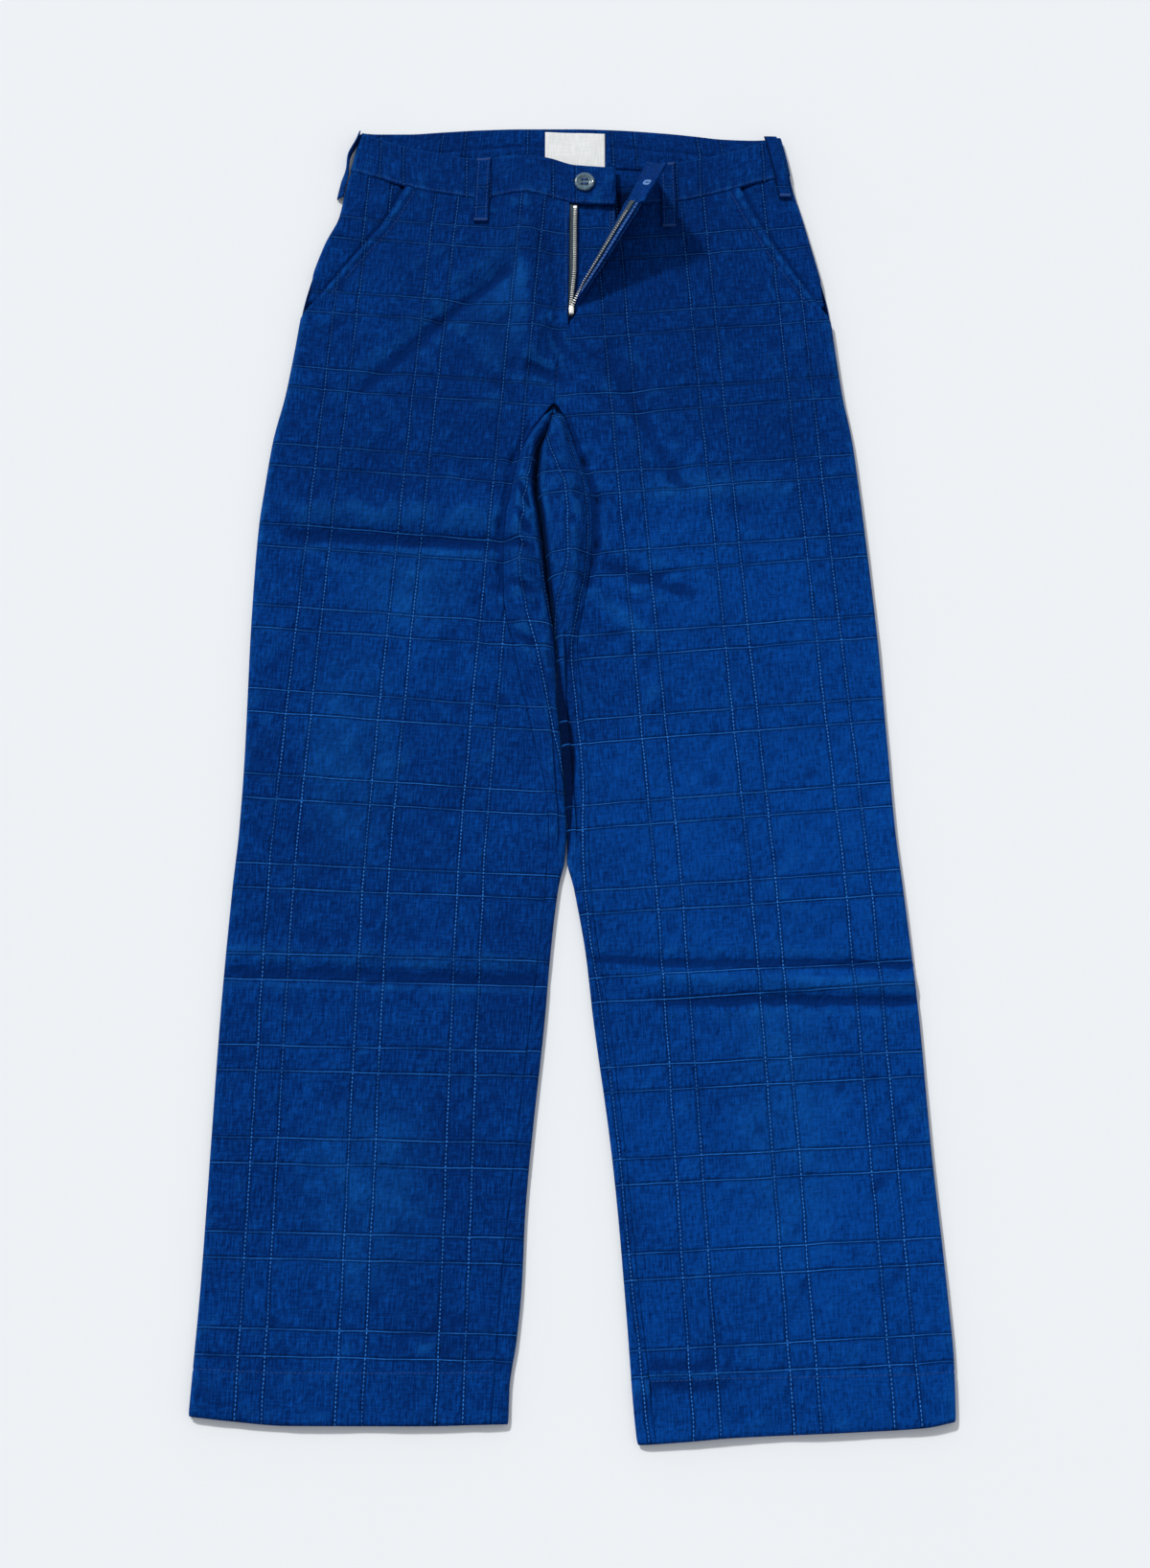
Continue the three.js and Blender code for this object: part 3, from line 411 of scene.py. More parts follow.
def grid_normals(place):
    """Unit normals of a grid: the cross product of the steps to the neighbours across and along it."""
    padded = np.pad(place, ((1, 1), (1, 1), (0, 0)), mode="edge")
    across = padded[1:-1, 2:] - padded[1:-1, :-2]
    along = padded[2:, 1:-1] - padded[:-2, 1:-1]
    return unit(np.cross(across, along))


def relief(place, normal, reach=3):
    """How far each place stands out above the mean of its neighbours a few steps away, in millimetres."""
    padded = np.pad(place, ((reach, reach), (reach, reach), (0, 0)), mode="edge")
    middle = slice(reach, -reach)
    around = (padded[: -2 * reach, middle] + padded[2 * reach :, middle]
              + padded[middle, : -2 * reach] + padded[middle, 2 * reach :]) / 4
    return np.einsum("ijk,ijk->ij", place - around, normal)


def to_frame(place):
    """From garment millimetres to metres in the part's frame."""
    return (place - np.array([MIDDLE[0], MIDDLE[1], 0.0])) * MM


def make_piece(name, vertices, faces, material, uv=None, relief_wear_and_shade=None):
    """Puts worked-out vertices and faces into a mesh object at the origin, smooth, on the one body.
    Cloth also has its place in the weave, and how far it stands out, with wear and painted shade added."""
    mesh = bpy.data.meshes.new(name)
    mesh.from_pydata(vertices.tolist(), [], faces if isinstance(faces, list) else faces.tolist())
    mesh.polygons.foreach_set("use_smooth", np.ones(len(mesh.polygons), bool))
    corners = np.empty(len(mesh.loops), np.int32)
    mesh.loops.foreach_get("vertex_index", corners)
    if uv is not None:
        layer = mesh.uv_layers.new(name="weave")
        layer.data.foreach_set("uv", uv[corners].astype(np.float32).ravel())
        # The relief attribute holds how far the cloth stands out, with wear and painted shade added
        attribute = mesh.attributes.new("relief", "FLOAT", "POINT")
        attribute.data.foreach_set("value", relief_wear_and_shade.astype(np.float32))
    mesh.materials.append(material)
    mesh.update()
    piece = bpy.data.objects.new(name, mesh)
    bpy.context.scene.collection.objects.link(piece)
    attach(piece, "root")
    return piece


def grid_faces(rows, columns, start=0, turned=False):
    """Quads between the neighbours of a grid."""
    at = np.arange(rows * columns).reshape(rows, columns) + start
    corners = [at[:-1, :-1], at[:-1, 1:], at[1:, 1:], at[1:, :-1]]
    return np.stack(corners[::-1] if turned else corners, -1).reshape(-1, 4)


def cloth_shell(name, place, uv, depth, rise, wear_and_painted_shade=0.0, inner=0.0, material="indigo_check_cloth"):
    """Closed shell of cloth on a grid: its outside is raised along the normals, its inside lies a depth
    below that, and both meet in a softly rounded rim. wear_and_painted_shade pales the cloth above 0 and
    darkens it below 0, where it mostly stands for painted shade; inner darkens its inside alone, as
    painted shade."""
    rows, columns = place.shape[:2]
    normal = grid_normals(place)
    depth = np.broadcast_to(depth, (rows, columns))
    rise = np.broadcast_to(rise, (rows, columns))
    ring = np.minimum.outer(*(np.minimum(np.arange(n), np.arange(n)[::-1]) for n in (rows, columns)))
    soft = np.select([ring == 0, ring == 1], [0.24, 0.05], 0.0)
    outside = place + normal * (rise - soft * depth)[..., None]
    inside = place + normal * (rise - (1 - soft) * depth)[..., None]
    count = rows * columns
    at = np.arange(count).reshape(rows, columns)
    loop = np.concatenate([at[0, :-1], at[:-1, -1], at[-1, :0:-1], at[:0:-1, 0]])
    rim = np.stack([loop, np.roll(loop, -1)], -1)
    rim = np.stack([rim[:, 1], rim[:, 0], rim[:, 0] + count, rim[:, 1] + count], -1)
    faces = np.concatenate(
        [grid_faces(rows, columns), grid_faces(rows, columns, count, turned=True), rim]
    )
    # Wear and painted shade are added to how far the outside stands out
    relief_wear_and_shade = (relief(outside, normal) + wear_and_painted_shade).ravel()
    vertices = to_frame(np.concatenate([outside.reshape(-1, 3), inside.reshape(-1, 3)]))
    weave = np.concatenate([uv.reshape(-1, 2)] * 2) * MM
    relief_wear_and_shade = np.concatenate([relief_wear_and_shade, relief_wear_and_shade + np.broadcast_to(inner, (rows, columns)).ravel()])
    return make_piece(name, vertices, faces, material_for(material), weave, relief_wear_and_shade)


def facing_up(side, *grids):
    """Turns grids so that they run from the wearer's right to left, and face up."""
    return grids if side == "right" else tuple(grid[:, ::-1] for grid in grids)


def dress(piece, node):
    """Hides the solid that a sheet of cloth stands for, and gives the sheet back."""
    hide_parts(node)
    return piece


# Rows of the leg panels from the hem up, as (end, count)
LEG_ROWS = (0, (36, 14), (44, 6), (300, 70), (366, 34), (600, 64), (735, 50), (800, 26), (812, 5))


def front_surface(side, inside, row):
    """Place and weave of a front panel at a distance in from its outer limit."""
    outer, _ = front_limits(side, row)
    x = outer + INWARD[side] * inside
    up = true_row(x, row, False)
    return on_top(side, x, up), cloth_uv(side, x, up)


def front_columns(side, row, edge=7, body=64, fly=46):
    """Distances in from the outer limit: close at the rounded edge, even on the body and at the fly."""
    outer, inner = front_limits(side, row)
    width, fly_part = np.abs(inner - outer), fly_width(side, row)
    near = np.broadcast_to(round_steps(edge), (len(row), edge))
    middle = mix(FOLD_RADIUS, width - fly_part, np.linspace(0, 1, body, False))
    return np.concatenate([near, middle, mix(width - fly_part, width, np.linspace(0, 1, fly))], 1)


def leg_shade(side, x, up):
    """How much painted shade darkens the legs beside each other, 0 and below: narrow between the thighs, and
    a wider painted shadow on the left leg above the knee."""
    inner = np.abs(x - fold_at(side, up))
    thigh = (1 - smooth(0.5, 4.5, inner)) * smooth(590, 640, up) * (1 - smooth(770, 800, up))
    if side == "right":
        return -5 * thigh
    breadth = 1 + 9 * bell(up - 515, 55)
    knee = (1 - smooth(breadth - 2, breadth + 1, inner)) * smooth(420, 440, up) * (1 - smooth(590, 625, up))
    return -5 * thigh - 6 * knee


def make_front(side):
    row = stretch(*LEG_ROWS, (884, 30), (1006, 60))[:, None]
    inside = front_columns(side, row)
    place, uv = front_surface(side, inside, row)
    edge = np.where(row > POCKET_FOOT[side], inside, 40.0)
    swell = 1.3 * bell(edge - 3.4, 3.2) - 0.45 * bell(edge - POCKET_SEWING, 1.5)
    swell = (swell + 0.22 * puckers(row + 5, edge, 10, 10)) * smooth(2, 26, row - POCKET_FOOT[side])
    stitch = -0.3 * bell(row - HEM_DEPTH + 1, 1.1)
    depth = mix(HEM_CLOTH, CLOTH, smooth(HEM_DEPTH - 1, HEM_DEPTH + 2, row)) + 0 * inside
    x, up = place[..., 0], row + 0 * inside
    # Painted shade between the legs, and a painted shadow along the front's inner edge beside the roll
    shadow_beside_roll = bell(inside - inside[:, -1:], 4) * smooth(640, 675, row) * smooth(812, 785, row)
    wear_and_painted_shade = leg_shade(side, x, up) - {"right": 1.0, "left": 1.7}[side] * shadow_beside_roll
    wear_and_painted_shade = wear_and_painted_shade - 0.6 * bells(HEM_FOLDS, x, up)
    place, uv, depth, rise, wear_and_painted_shade = facing_up(side, place, uv, depth, swell + stitch, wear_and_painted_shade)
    piece = cloth_shell(f"{side}_front_cloth", place, uv, depth, rise, wear_and_painted_shade)
    return dress(piece, f"{side}_front")


def turn_up(side, row, width):
    """The part of a back that turns up round the inner fold and over to the inseam, as paths of
    (inside, z): a short level run, an upright half ellipse, then the cloth's height. The loose roll is
    added over the turn: a quarter ellipse up to its crown, then a squared cosine down to the inseam."""
    steps = np.arange(17) / 16
    seam = read(INSEAM, side, np.minimum(row, CROTCH_UP))
    wrap = np.maximum(0, np.abs(back_edge(side, row) - seam) - 0.1)
    radius = np.minimum(FOLD_RADIUS + 2, 0.5 * wrap + 0.6)
    lip = mix(90.0, -90.0, smooth(JOIN_FROM, JOIN_TO, row))
    sunk = (CLOTH + 0.5) * smooth(JOIN_FROM - 4, JOIN_FROM + 12, row)
    x = back_edge(side, row)
    crown = cloth_height(x, row) - sunk
    angle = np.radians(mix(-90.0, lip, steps))
    lift = np.where(np.sin(angle) < 0, SEAM_HEIGHT, crown - SEAM_HEIGHT)
    arc = np.stack([width - radius + radius * np.cos(angle), SEAM_HEIGHT + lift * np.sin(angle)], -1)
    over = np.where(row < JOIN_FROM + 8, wrap - radius, 0)
    level = width - radius - over * steps[1:]
    top = cloth_height(x - INWARD[side] * (radius + over * steps[1:]), row) - sunk
    flat = np.where((over > 0.2)[..., None], np.stack([level, top + 0 * level], -1), arc[:, -1:])
    start = np.stack([width - radius - 14, 0 * width], -1)
    path = np.concatenate([start, arc, flat], 1)
    inside, z = path[..., 0], path[..., 1]
    t = np.clip((width - inside) / np.maximum(wrap, 1), 0, 1)
    share = np.clip((z - SEAM_HEIGHT) / (crown - SEAM_HEIGHT), 0, 1)
    rising = np.sqrt(np.maximum(0, 1 - np.clip(1 - t / ROLL_CROWN, 0, 1) ** 2))
    falling = np.cos(np.clip((t - ROLL_CROWN) / (1 - ROLL_CROWN), 0, 1) * np.pi / 2) ** 2
    roll = read(THICKNESS, "roll", row) * share * rising * falling
    return np.stack([inside, z + roll * (wrap > 1)], -1)


def spread(path, count):
    """Even steps along each row's path, by its length, and how far each step is from the path's end."""
    step = np.hypot(*np.moveaxis(np.diff(path, axis=1), -1, 0))
    length = np.concatenate([np.zeros((len(path), 1)), np.cumsum(step, 1)], 1)
    want = length[:, -1:] * np.linspace(0, 1, count + 1)
    index = np.clip((length[:, None] < want[..., None]).sum(-1), 1, path.shape[1] - 1)
    before, after = np.take_along_axis(length, index - 1, 1), np.take_along_axis(length, index, 1)
    t = ((want - before) / np.maximum(after - before, 1e-9))[..., None]
    first = np.take_along_axis(path, (index - 1)[..., None], 1)
    second = np.take_along_axis(path, index[..., None], 1)
    return mix(first, second, t), length[:, -1:] - want


def make_back(side, edge=6, floor=44, turn=58):
    row = stretch(*LEG_ROWS, (830, 10), (900, 22), (1006, 34))[:, None]
    outer = panel_edge(side, row, True)
    width = np.abs(back_edge(side, row) - outer)
    turned, left_over = spread(turn_up(side, row, width), turn)
    angle = np.linspace(0, np.pi / 2, edge, False)
    near = np.stack([round_steps(edge), (SEAM_HEIGHT - SEAM_PART["panel"]) * (1 - np.sin(angle))], -1)
    near = np.broadcast_to(near, (len(row), edge, 2))
    level = mix(FOLD_RADIUS, turned[:, :1, 0], np.linspace(0, 1, floor, False))
    level = np.stack([level, 0 * level], -1)
    inside, z = np.moveaxis(np.concatenate([near, level, turned], 1), -1, 0)
    x = outer + INWARD[side] * inside
    up = true_row(x, row, True)
    clear = smooth(2, 12, inside) * smooth(10, 24, width - inside)
    clear = clear * smooth(4, 16, row) * smooth(4, 20, BAND_LINE - row)
    z = z + under_lift(x, up) * clear * (z < 0.5)
    lining = np.full((len(row), edge + floor), -1.0)
    past = np.concatenate([lining, np.broadcast_to(left_over, turned.shape[:2])], 1)
    uv = cloth_uv(side, x, up)
    over = (past >= 0) & (z > SEAM_HEIGHT)
    from_seam = past - (18 if side == "right" else 24)
    uv = np.where(over[..., None], np.stack([INWARD[side] * from_seam, uv[..., 1]], -1), uv)
    # Painted shade between the legs, on the part turned up over the fold
    wear_and_painted_shade = leg_shade(side, x, up) * (z > SEAM_HEIGHT)
    place = np.stack([x, up, z], -1)
    depth = mix(HEM_CLOTH, CLOTH, smooth(HEM_DEPTH - 1, HEM_DEPTH + 2, row)) + 0 * x
    shade = -2.6 * smooth(870, 900, up) * (1 - 0.9 * smooth(1008, 1020, up))
    other = "left" if side == "right" else "right"
    place, uv, depth, shade, wear_and_painted_shade = facing_up(other, place, uv, depth, shade, wear_and_painted_shade)
    piece = cloth_shell(f"{side}_back_cloth", place, uv, depth, 0.0, wear_and_painted_shade, shade)
    return dress(piece, f"{side}_back")


def make_pocket_facing(side):
    row = np.linspace(POCKET_FOOT[side] + 13, BAND_LINE, 60)[:, None]
    limit = panel_edge(side, row, False)
    opening = np.abs(POCKET_HEAD[side] - limit) * (row - POCKET_FOOT[side]) / (BAND_LINE - POCKET_FOOT[side])
    width = opening + POCKET_UNDER
    start = 3.2 * (1 - smooth(4, 25, row - row[0]))
    inside = mix(start, width, np.linspace(0, 1, 40) ** 1.5)
    x = limit + INWARD[side] * inside
    up = true_row(x, row, False)
    level = (1 - smooth(0, np.maximum(3, opening - 2), inside)) * smooth(4, 25, row - row[0])
    near_edge = bell(inside - opening, 4) * smooth(6, 25, opening)
    rise = -(CLOTH + LAYER_GAP) * (1 - level) - 1.8 * near_edge
    place = on_top(side, x, up, SEAM_PART["band"])
    offset = np.array([-16.0, 0.0] if side == "right" else [22.0, 0.0])
    # The facing is a little darker overall, with a painted shadow along the pocket's opening
    uv, wear_and_painted_shade = cloth_uv(side, x, up) + offset, -0.12 - 0.9 * near_edge
    place, uv, rise, wear_and_painted_shade = facing_up(side, place, uv, rise, wear_and_painted_shade)
    piece = cloth_shell(f"{side}_pocket_cloth", place, uv, LINING_CLOTH, rise, wear_and_painted_shade)
    return dress(piece, f"{side}_pocket_facing")


def band_profile(t):
    """Cross section of a band: flat, rounded over at its lower and upper edge."""
    return -0.55 * (1 - round_edge(t * BAND_DEPTH, 1.6)) - 0.7 * (1 - round_edge((1 - t) * BAND_DEPTH, 2.2))


def front_band_surface(side, inside, t):
    """Place on a front half of the band, at a distance in from the side seam and a share t up the band."""
    outer = seam_at(side, FRONT_BAND_UP)
    x0 = outer + INWARD[side] * inside
    up = mix(read(BAND_EDGES, "low", x0) - 0.75, read(BAND_EDGES, "high", x0), t)
    at_edge = seam_at(side, up) + INWARD[side] * inside
    return on_top(side, mix(at_edge, x0, smooth(0, 30, inside)), up, SEAM_PART["band"])


def front_band_width(side):
    outer = seam_at(side, FRONT_BAND_UP)
    inner = SHIELD_EDGE if side == "right" else front_limits("left", np.array(BAND_LINE))[1] - 3
    return float(abs(inner - outer))


def make_front_band(side):
    width = front_band_width(side)
    flat = width - 86 if side == "left" else width
    flap = [(width, 55)] if side == "left" else []
    inside = np.concatenate([round_steps(7), stretch(FOLD_RADIUS, (flat, 69), *flap)])
    inside, t = np.meshgrid(inside, stretch(0, (0.06, 3), (0.94, 15), (1, 4)))
    place = front_band_surface(side, inside, t)
    rise = BAND_RAISE + band_profile(t) + 0.2 * puckers(inside, t * BAND_DEPTH, 10, 9)
    rise += 0.12 * puckers(inside + 31, (1 - t) * BAND_DEPTH, 12, 9)
    along = seam_at(side, FRONT_BAND_UP) + INWARD[side] * inside - (-162.0 if side == "right" else 84.7)
    uv = np.stack([along, 25 + (t - 0.5) * BAND_DEPTH], -1)
    place, uv, rise = facing_up(side, place, uv, rise)
    piece = cloth_shell(f"{side}_front_band", place, uv, BAND_CLOTH, rise)
    return dress(piece, f"waistband_{side}_front")


def back_band_surface(x, t):
    """Place on the inside of the back band: on the surface, turned up at both side seams."""
    up = read(BAND_EDGES, "back", x) - (BAND_DEPTH + 1.6) * (1 - t)
    right, left = seam_at("right", up), seam_at("left", up)
    first, last = seam_at("right", BACK_BAND_UP), seam_at("left", BACK_BAND_UP)
    across = mix(right, left, (x - first) / (last - first))
    lift = 1 - round_edge(across - right, FOLD_RADIUS) * round_edge(left - across, FOLD_RADIUS)
    return np.stack([across, up, (SEAM_HEIGHT - SEAM_PART["band"]) * lift + 0 * t], -1)


def make_back_band():
    right, left = seam_at("right", BACK_BAND_UP), seam_at("left", BACK_BAND_UP)
    near = round_steps(6)
    middle = np.linspace(right + FOLD_RADIUS, left - FOLD_RADIUS, 130)
    x = np.concatenate([right + near, middle, (left - near)[::-1]])
    x, t = np.meshgrid(x, stretch(0, (0.06, 3), (0.94, 23), (1, 4)))
    place = back_band_surface(x, t)
    # This grid's outside faces the surface below, and the side that shows is the far one
    below_top = (1 - t) * BAND_DEPTH - read(BAND_CREASE, "down", x)
    creased = smooth(-128, -108, x) * smooth(134, 112, x)
    crease, swell = bell(below_top, 1.3) * creased, 0.7 * bell(below_top - 4.5, 3.2) * creased
    depth = BAND_CLOTH + band_profile(t) - 1.1 * crease + swell + 0.3 * puckers(x, below_top, 14, 10)
    uv = np.stack([x + 112.0, 25 + (t - 0.5) * BAND_DEPTH], -1)
    # Painted shade in the crease along the band's inside, and a little darker overall
    wear_and_painted_shade = (-0.5 * crease - 0.1)[:, ::-1]
    piece = cloth_shell("back_band", place[:, ::-1], uv[:, ::-1], depth[:, ::-1], 0.0, wear_and_painted_shade)
    return dress(piece, "waistband_back")


def make_shield():
    x, up = np.meshgrid(np.linspace(-16, SHIELD_EDGE, 40), np.linspace(872, BAND_LINE - 6, 70))
    top = 0.3 * bells(SHIELD_CREASES, x, up) - SHIELD_DEPTH
    uv = np.stack([x + 41, up - 905], -1)
    piece = cloth_shell("shield_cloth", on_top("right", x, up), uv, LINING_CLOTH, top)
    return dress(piece, "fly_shield")


def flap_surface(from_edge, row):
    """Place and weave on the left front at a distance in from its fly edge."""
    _, inner = front_limits("left", row)
    x = inner + from_edge
    up = true_row(x, row, False)
    return on_top("left", x, up), cloth_uv("left", x, up)


def make_fly_facing():
    row = np.linspace(899.5, BAND_LINE, 64)[:, None]
    from_edge = mix(0.2, fly_width("left", row) / 2, np.linspace(0, 1, 34))
    place, uv = flap_surface(from_edge, row)
    piece = cloth_shell("fly_facing_cloth", place, uv + [9.0, 20.0], LINING_CLOTH, -(CLOTH + LAYER_GAP))
    return dress(piece, "fly_facing")


def make_left_tape():
    row = np.linspace(899.5, BAND_LINE, 64)[:, None]
    share = fly_width("left", row) / 8
    from_edge = mix(share, 2 * share, np.linspace(0, 1, 10))
    place, _ = flap_surface(from_edge, row)
    uv = np.stack([from_edge, row + 0 * from_edge], -1)
    top = -(CLOTH + LINING_CLOTH + 2.3 * LAYER_GAP)
    piece = cloth_shell("left_zip_tape", place, uv, TAPE_CLOTH, top, material="woven_tape")
    return dress(piece, "zip_tape_left")


def right_tape_shown(up):
    return mix(3.6, 6.5, smooth(890, 940, up))


def make_right_tape():
    up = np.linspace(892, BAND_LINE - 9, 60)[:, None]
    across = np.linspace(-5, 1, 14)
    x = fold_at("right", up) + np.where(across < 0, across, across * right_tape_shown(up))
    place, uv = on_top("right", x, up), np.stack([x, up + 0 * x], -1)
    piece = cloth_shell("right_zip_tape", place, uv, TAPE_CLOTH, -(CLOTH + LAYER_GAP), material="woven_tape")
    return dress(piece, "zip_tape_right")


def loop_section(across):
    """A folded strap in section: full in the middle, thinner over its two edges."""
    return 0.25 * np.cos(across * np.pi / 2) ** 0.7 - 0.12 * bell(np.abs(across) - 0.68, 0.09)


def loop_bow(t):
    """How far a front loop bows off the band along its length, with a crease near its top."""
    return 0.7 * np.sin(np.pi * t) ** 2 - 0.3 * bell(t - 0.7, 0.03)


def front_loop_place(top, foot, foot_up, across, t):
    x = mix(foot, top, t) + across * LOOP_HALF
    return x, mix(foot_up, read(BAND_EDGES, "high", x) - 0.5, t)


def make_front_loop(side, top, foot, foot_up):
    across, t = np.meshgrid(np.linspace(-1, 1, 17), np.linspace(0, 1, 44))
    x, up = front_loop_place(top, foot, foot_up, across, t)
    rise = LOOP_LIFT + loop_section(across) + loop_bow(t)
    place = on_top(side, x, up)
    uv = np.stack([across * LOOP_HALF + 30, up - 940], -1)
    name = f"{side}_front_loop"
    # A little paler overall, with painted shade in the crease near the top and a painted shadow along the
    # inner edge
    wear_and_painted_shade = 0.05 - 0.5 * bell(t - 0.7, 0.03) - 1.6 * smooth(-0.75, -1, INWARD[side] * across)
    piece = cloth_shell(name, place, uv, LOOP_DEPTH + loop_section(across), rise, wear_and_painted_shade)
    return dress(piece, f"belt_loop_{side}_front")


def make_right_side_loop():
    across, t = np.meshgrid(np.linspace(-1, 1, 15), np.linspace(0, 1, 50))
    up = mix(1004.0, 1066.0, t)
    bow = 4.0 * bell(t - 0.64, 0.2)
    lean = 5.5 * (1 - smooth(0.25, 0.6, t))
    share = (1 - across) / 2
    near = 0.7 * (1 - bell(t - 0.64, 0.25))
    x = seam_at("right", up) - 2 * SEAM_GAP - LOOP_DEPTH - bow + across**2
    x = x - lean * (1.2 * share - 0.2 * share**2)
    z = mix(0.3 + 0.15 * lean, 9.5 - 0.35 * lean, 1 - share)
    place = np.stack([x + near, up, z], -1)
    uv = np.stack([across * LOOP_HALF + 30, up - 940], -1)
    piece = cloth_shell("right_side_loop", place, uv, LOOP_DEPTH, 0.0, 0.15)
    return dress(piece, "belt_loop_right_side")


def make_left_side_loop():
    across, t = np.meshgrid(np.linspace(-1, 0.9, 17), np.linspace(0, 1, 44))
    up = mix(1001.0, 1060.0, t)
    x = seam_at("left", up) - 9 + across * 5.5
    rise = LOOP_LIFT + loop_section(across) + 1.5 * np.sin(np.pi * t) ** 2
    place = on_top("left", x, up)
    uv = np.stack([across * LOOP_HALF + 30, up - 940], -1)
    # Paler along the outer edge, a little darker overall, and a painted shadow along the inner edge
    wear_and_painted_shade = 0.5 * smooth(0.45, 0.85, across) - 0.2 - 2.4 * smooth(-0.55, -0.95, across)
    piece = cloth_shell("left_side_loop", place, uv, LOOP_DEPTH + loop_section(across), rise, wear_and_painted_shade)
    return dress(piece, "belt_loop_left_side")


def make_label():
    x, up = np.meshgrid(np.linspace(-LABEL_HALF, LABEL_HALF, 60), np.linspace(LABEL_LOW, LABEL_HIGH, 40))
    ripple = 0.16 * np.sin(x / 5.3 + up / 17) + 0.12 * np.sin(x / 9.1 - up / 7)
    z = BAND_CLOTH + LAYER_GAP + LABEL_CLOTH + ripple + 0.18 * bell(up - LABEL_LOW, 6)
    edge = 0.25 * np.sin(x / 3.1) * (up < LABEL_LOW + 2)
    place = np.stack([x, up - 0.03 * x + edge, z], -1)
    piece = cloth_shell("label_cloth", place, np.stack([x, up], -1), LABEL_CLOTH, 0.0, material="white_satin")
    return dress(piece, "label")


STITCH_ALONG = np.array([-1.0, -0.82, -0.3, 0.3, 0.82, 1.0])
STITCH_GIRTH = np.array([0.35, 0.85, 1.0, 1.0, 0.85, 0.35])
STITCH_SIDES = 6


def ring_faces(count, rings, around, turned):
    """Faces of a number of closed forms, each of some rings of vertices one after the other."""
    first = np.arange(count)[:, None, None] * rings * around
    side = np.arange(around)[None, None, :]
    low = first + np.arange(rings - 1)[None, :, None] * around
    following = (side + 1) % around
    quads = [low + side, low + around + side, low + around + following, low + following]
    foot, top = first[:, 0] + side[0], first[:, 0] + (rings - 1) * around + side[0]
    if turned:
        quads, ends = [quads[0], *quads[:0:-1]], [foot[:, ::-1], top]
    else:
        ends = [foot, top[:, ::-1]]
    return np.stack(quads, -1).reshape(-1, 4).tolist() + np.concatenate(ends).tolist()


def stitch_meshes(runs):
    """Every stitch is a small tube, thickest in its middle, whose ends dip into the cloth. A stitch is
    given as centre, direction, normal, half length and radius, all in millimetres."""
    centre, heading, normal, half, radius = (np.concatenate(part) for part in zip(*runs))
    normal = unit(normal - heading * np.einsum("ij,ij->i", normal, heading)[:, None])
    sideways = np.cross(normal, heading)
    turn = np.arange(STITCH_SIDES) * 2 * np.pi / STITCH_SIDES
    along = STITCH_ALONG[None, :, None] * half[:, None, None]
    dip = -0.55 * STITCH_ALONG[None, :, None] ** 4 * radius[:, None, None]
    girth = STITCH_GIRTH[None, :, None] * radius[:, None, None]
    out = girth * np.sin(turn) + dip
    over = girth * np.cos(turn)
    place = (centre[:, None, None] + heading[:, None, None] * (along + 0 * turn)[..., None]
             + normal[:, None, None] * out[..., None] + sideways[:, None, None] * over[..., None])
    return place.reshape(-1, 3), ring_faces(len(centre), len(STITCH_ALONG), STITCH_SIDES, False)


def lengths_to(path):
    """How far along a path each of its places is."""
    return np.concatenate([[0.0], np.cumsum(np.linalg.norm(np.diff(path, axis=0), axis=1))])


def pick(values, travelled, at):
    """Values of a path at other lengths along it."""
    return np.stack([np.interp(at, travelled, values[:, k]) for k in range(3)], -1)


def stitch_run(place, normal, length, gap, radius, lift=0.0):
    """Stitches of one length along a path on the cloth, with a gap after each."""
    travelled = lengths_to(place)
    count = max(1, int(travelled[-1] // (length + gap)))
    at = (np.arange(count) + 0.5) * travelled[-1] / count
    start, end = pick(place, travelled, at - length / 2), pick(place, travelled, at + length / 2)
    out = pick(normal, travelled, at)
    centre = (start + end) / 2 + out * lift
    return centre, unit(end - start), out, np.full(count, length / 2), np.full(count, radius)


def strip(surface, first, second):
    """Place and normal along a path on a surface, from its places there and a little way beside it."""
    return first, unit(np.cross(np.gradient(first, axis=0), second - first)) * surface


def front_row_path(side, row, start, end, count=160):
    """Path across a front in one row."""
    outer, inner = front_limits(side, np.array([[row]]))
    inside = np.linspace(start, float(abs(inner[0, 0] - outer[0, 0])) - end, count)
    here = np.full((count, 1), row)
    place = front_surface(side, inside[:, None], here)[0][:, 0]
    above = front_surface(side, inside[:, None], here + 1)[0][:, 0]
    return strip(INWARD[side], place, above)


def pocket_path(side, inside, count=80):
    row = np.linspace(POCKET_FOOT[side] + 2, BAND_LINE - 2, count)[:, None]
    place = front_surface(side, np.full((count, 1), inside), row)[0][:, 0]
    beside = front_surface(side, np.full((count, 1), inside + 1), row)[0][:, 0]
    return strip(-INWARD[side], place, beside)


def band_path(side, t, start, end, count=160):
    inside = np.linspace(start, front_band_width(side) - end, count)
    place = front_band_surface(side, inside, t)
    above = front_band_surface(side, inside, t + 0.03)
    return strip(INWARD[side], place, above)


def flap_path(from_edge, first, last, count=90):
    row = np.linspace(first, last, count)[:, None]
    place = flap_surface(np.full((count, 1), from_edge), row)[0][:, 0]
    beside = flap_surface(np.full((count, 1), from_edge + 0.8), row)[0][:, 0]
    return strip(-1.0, place, beside)


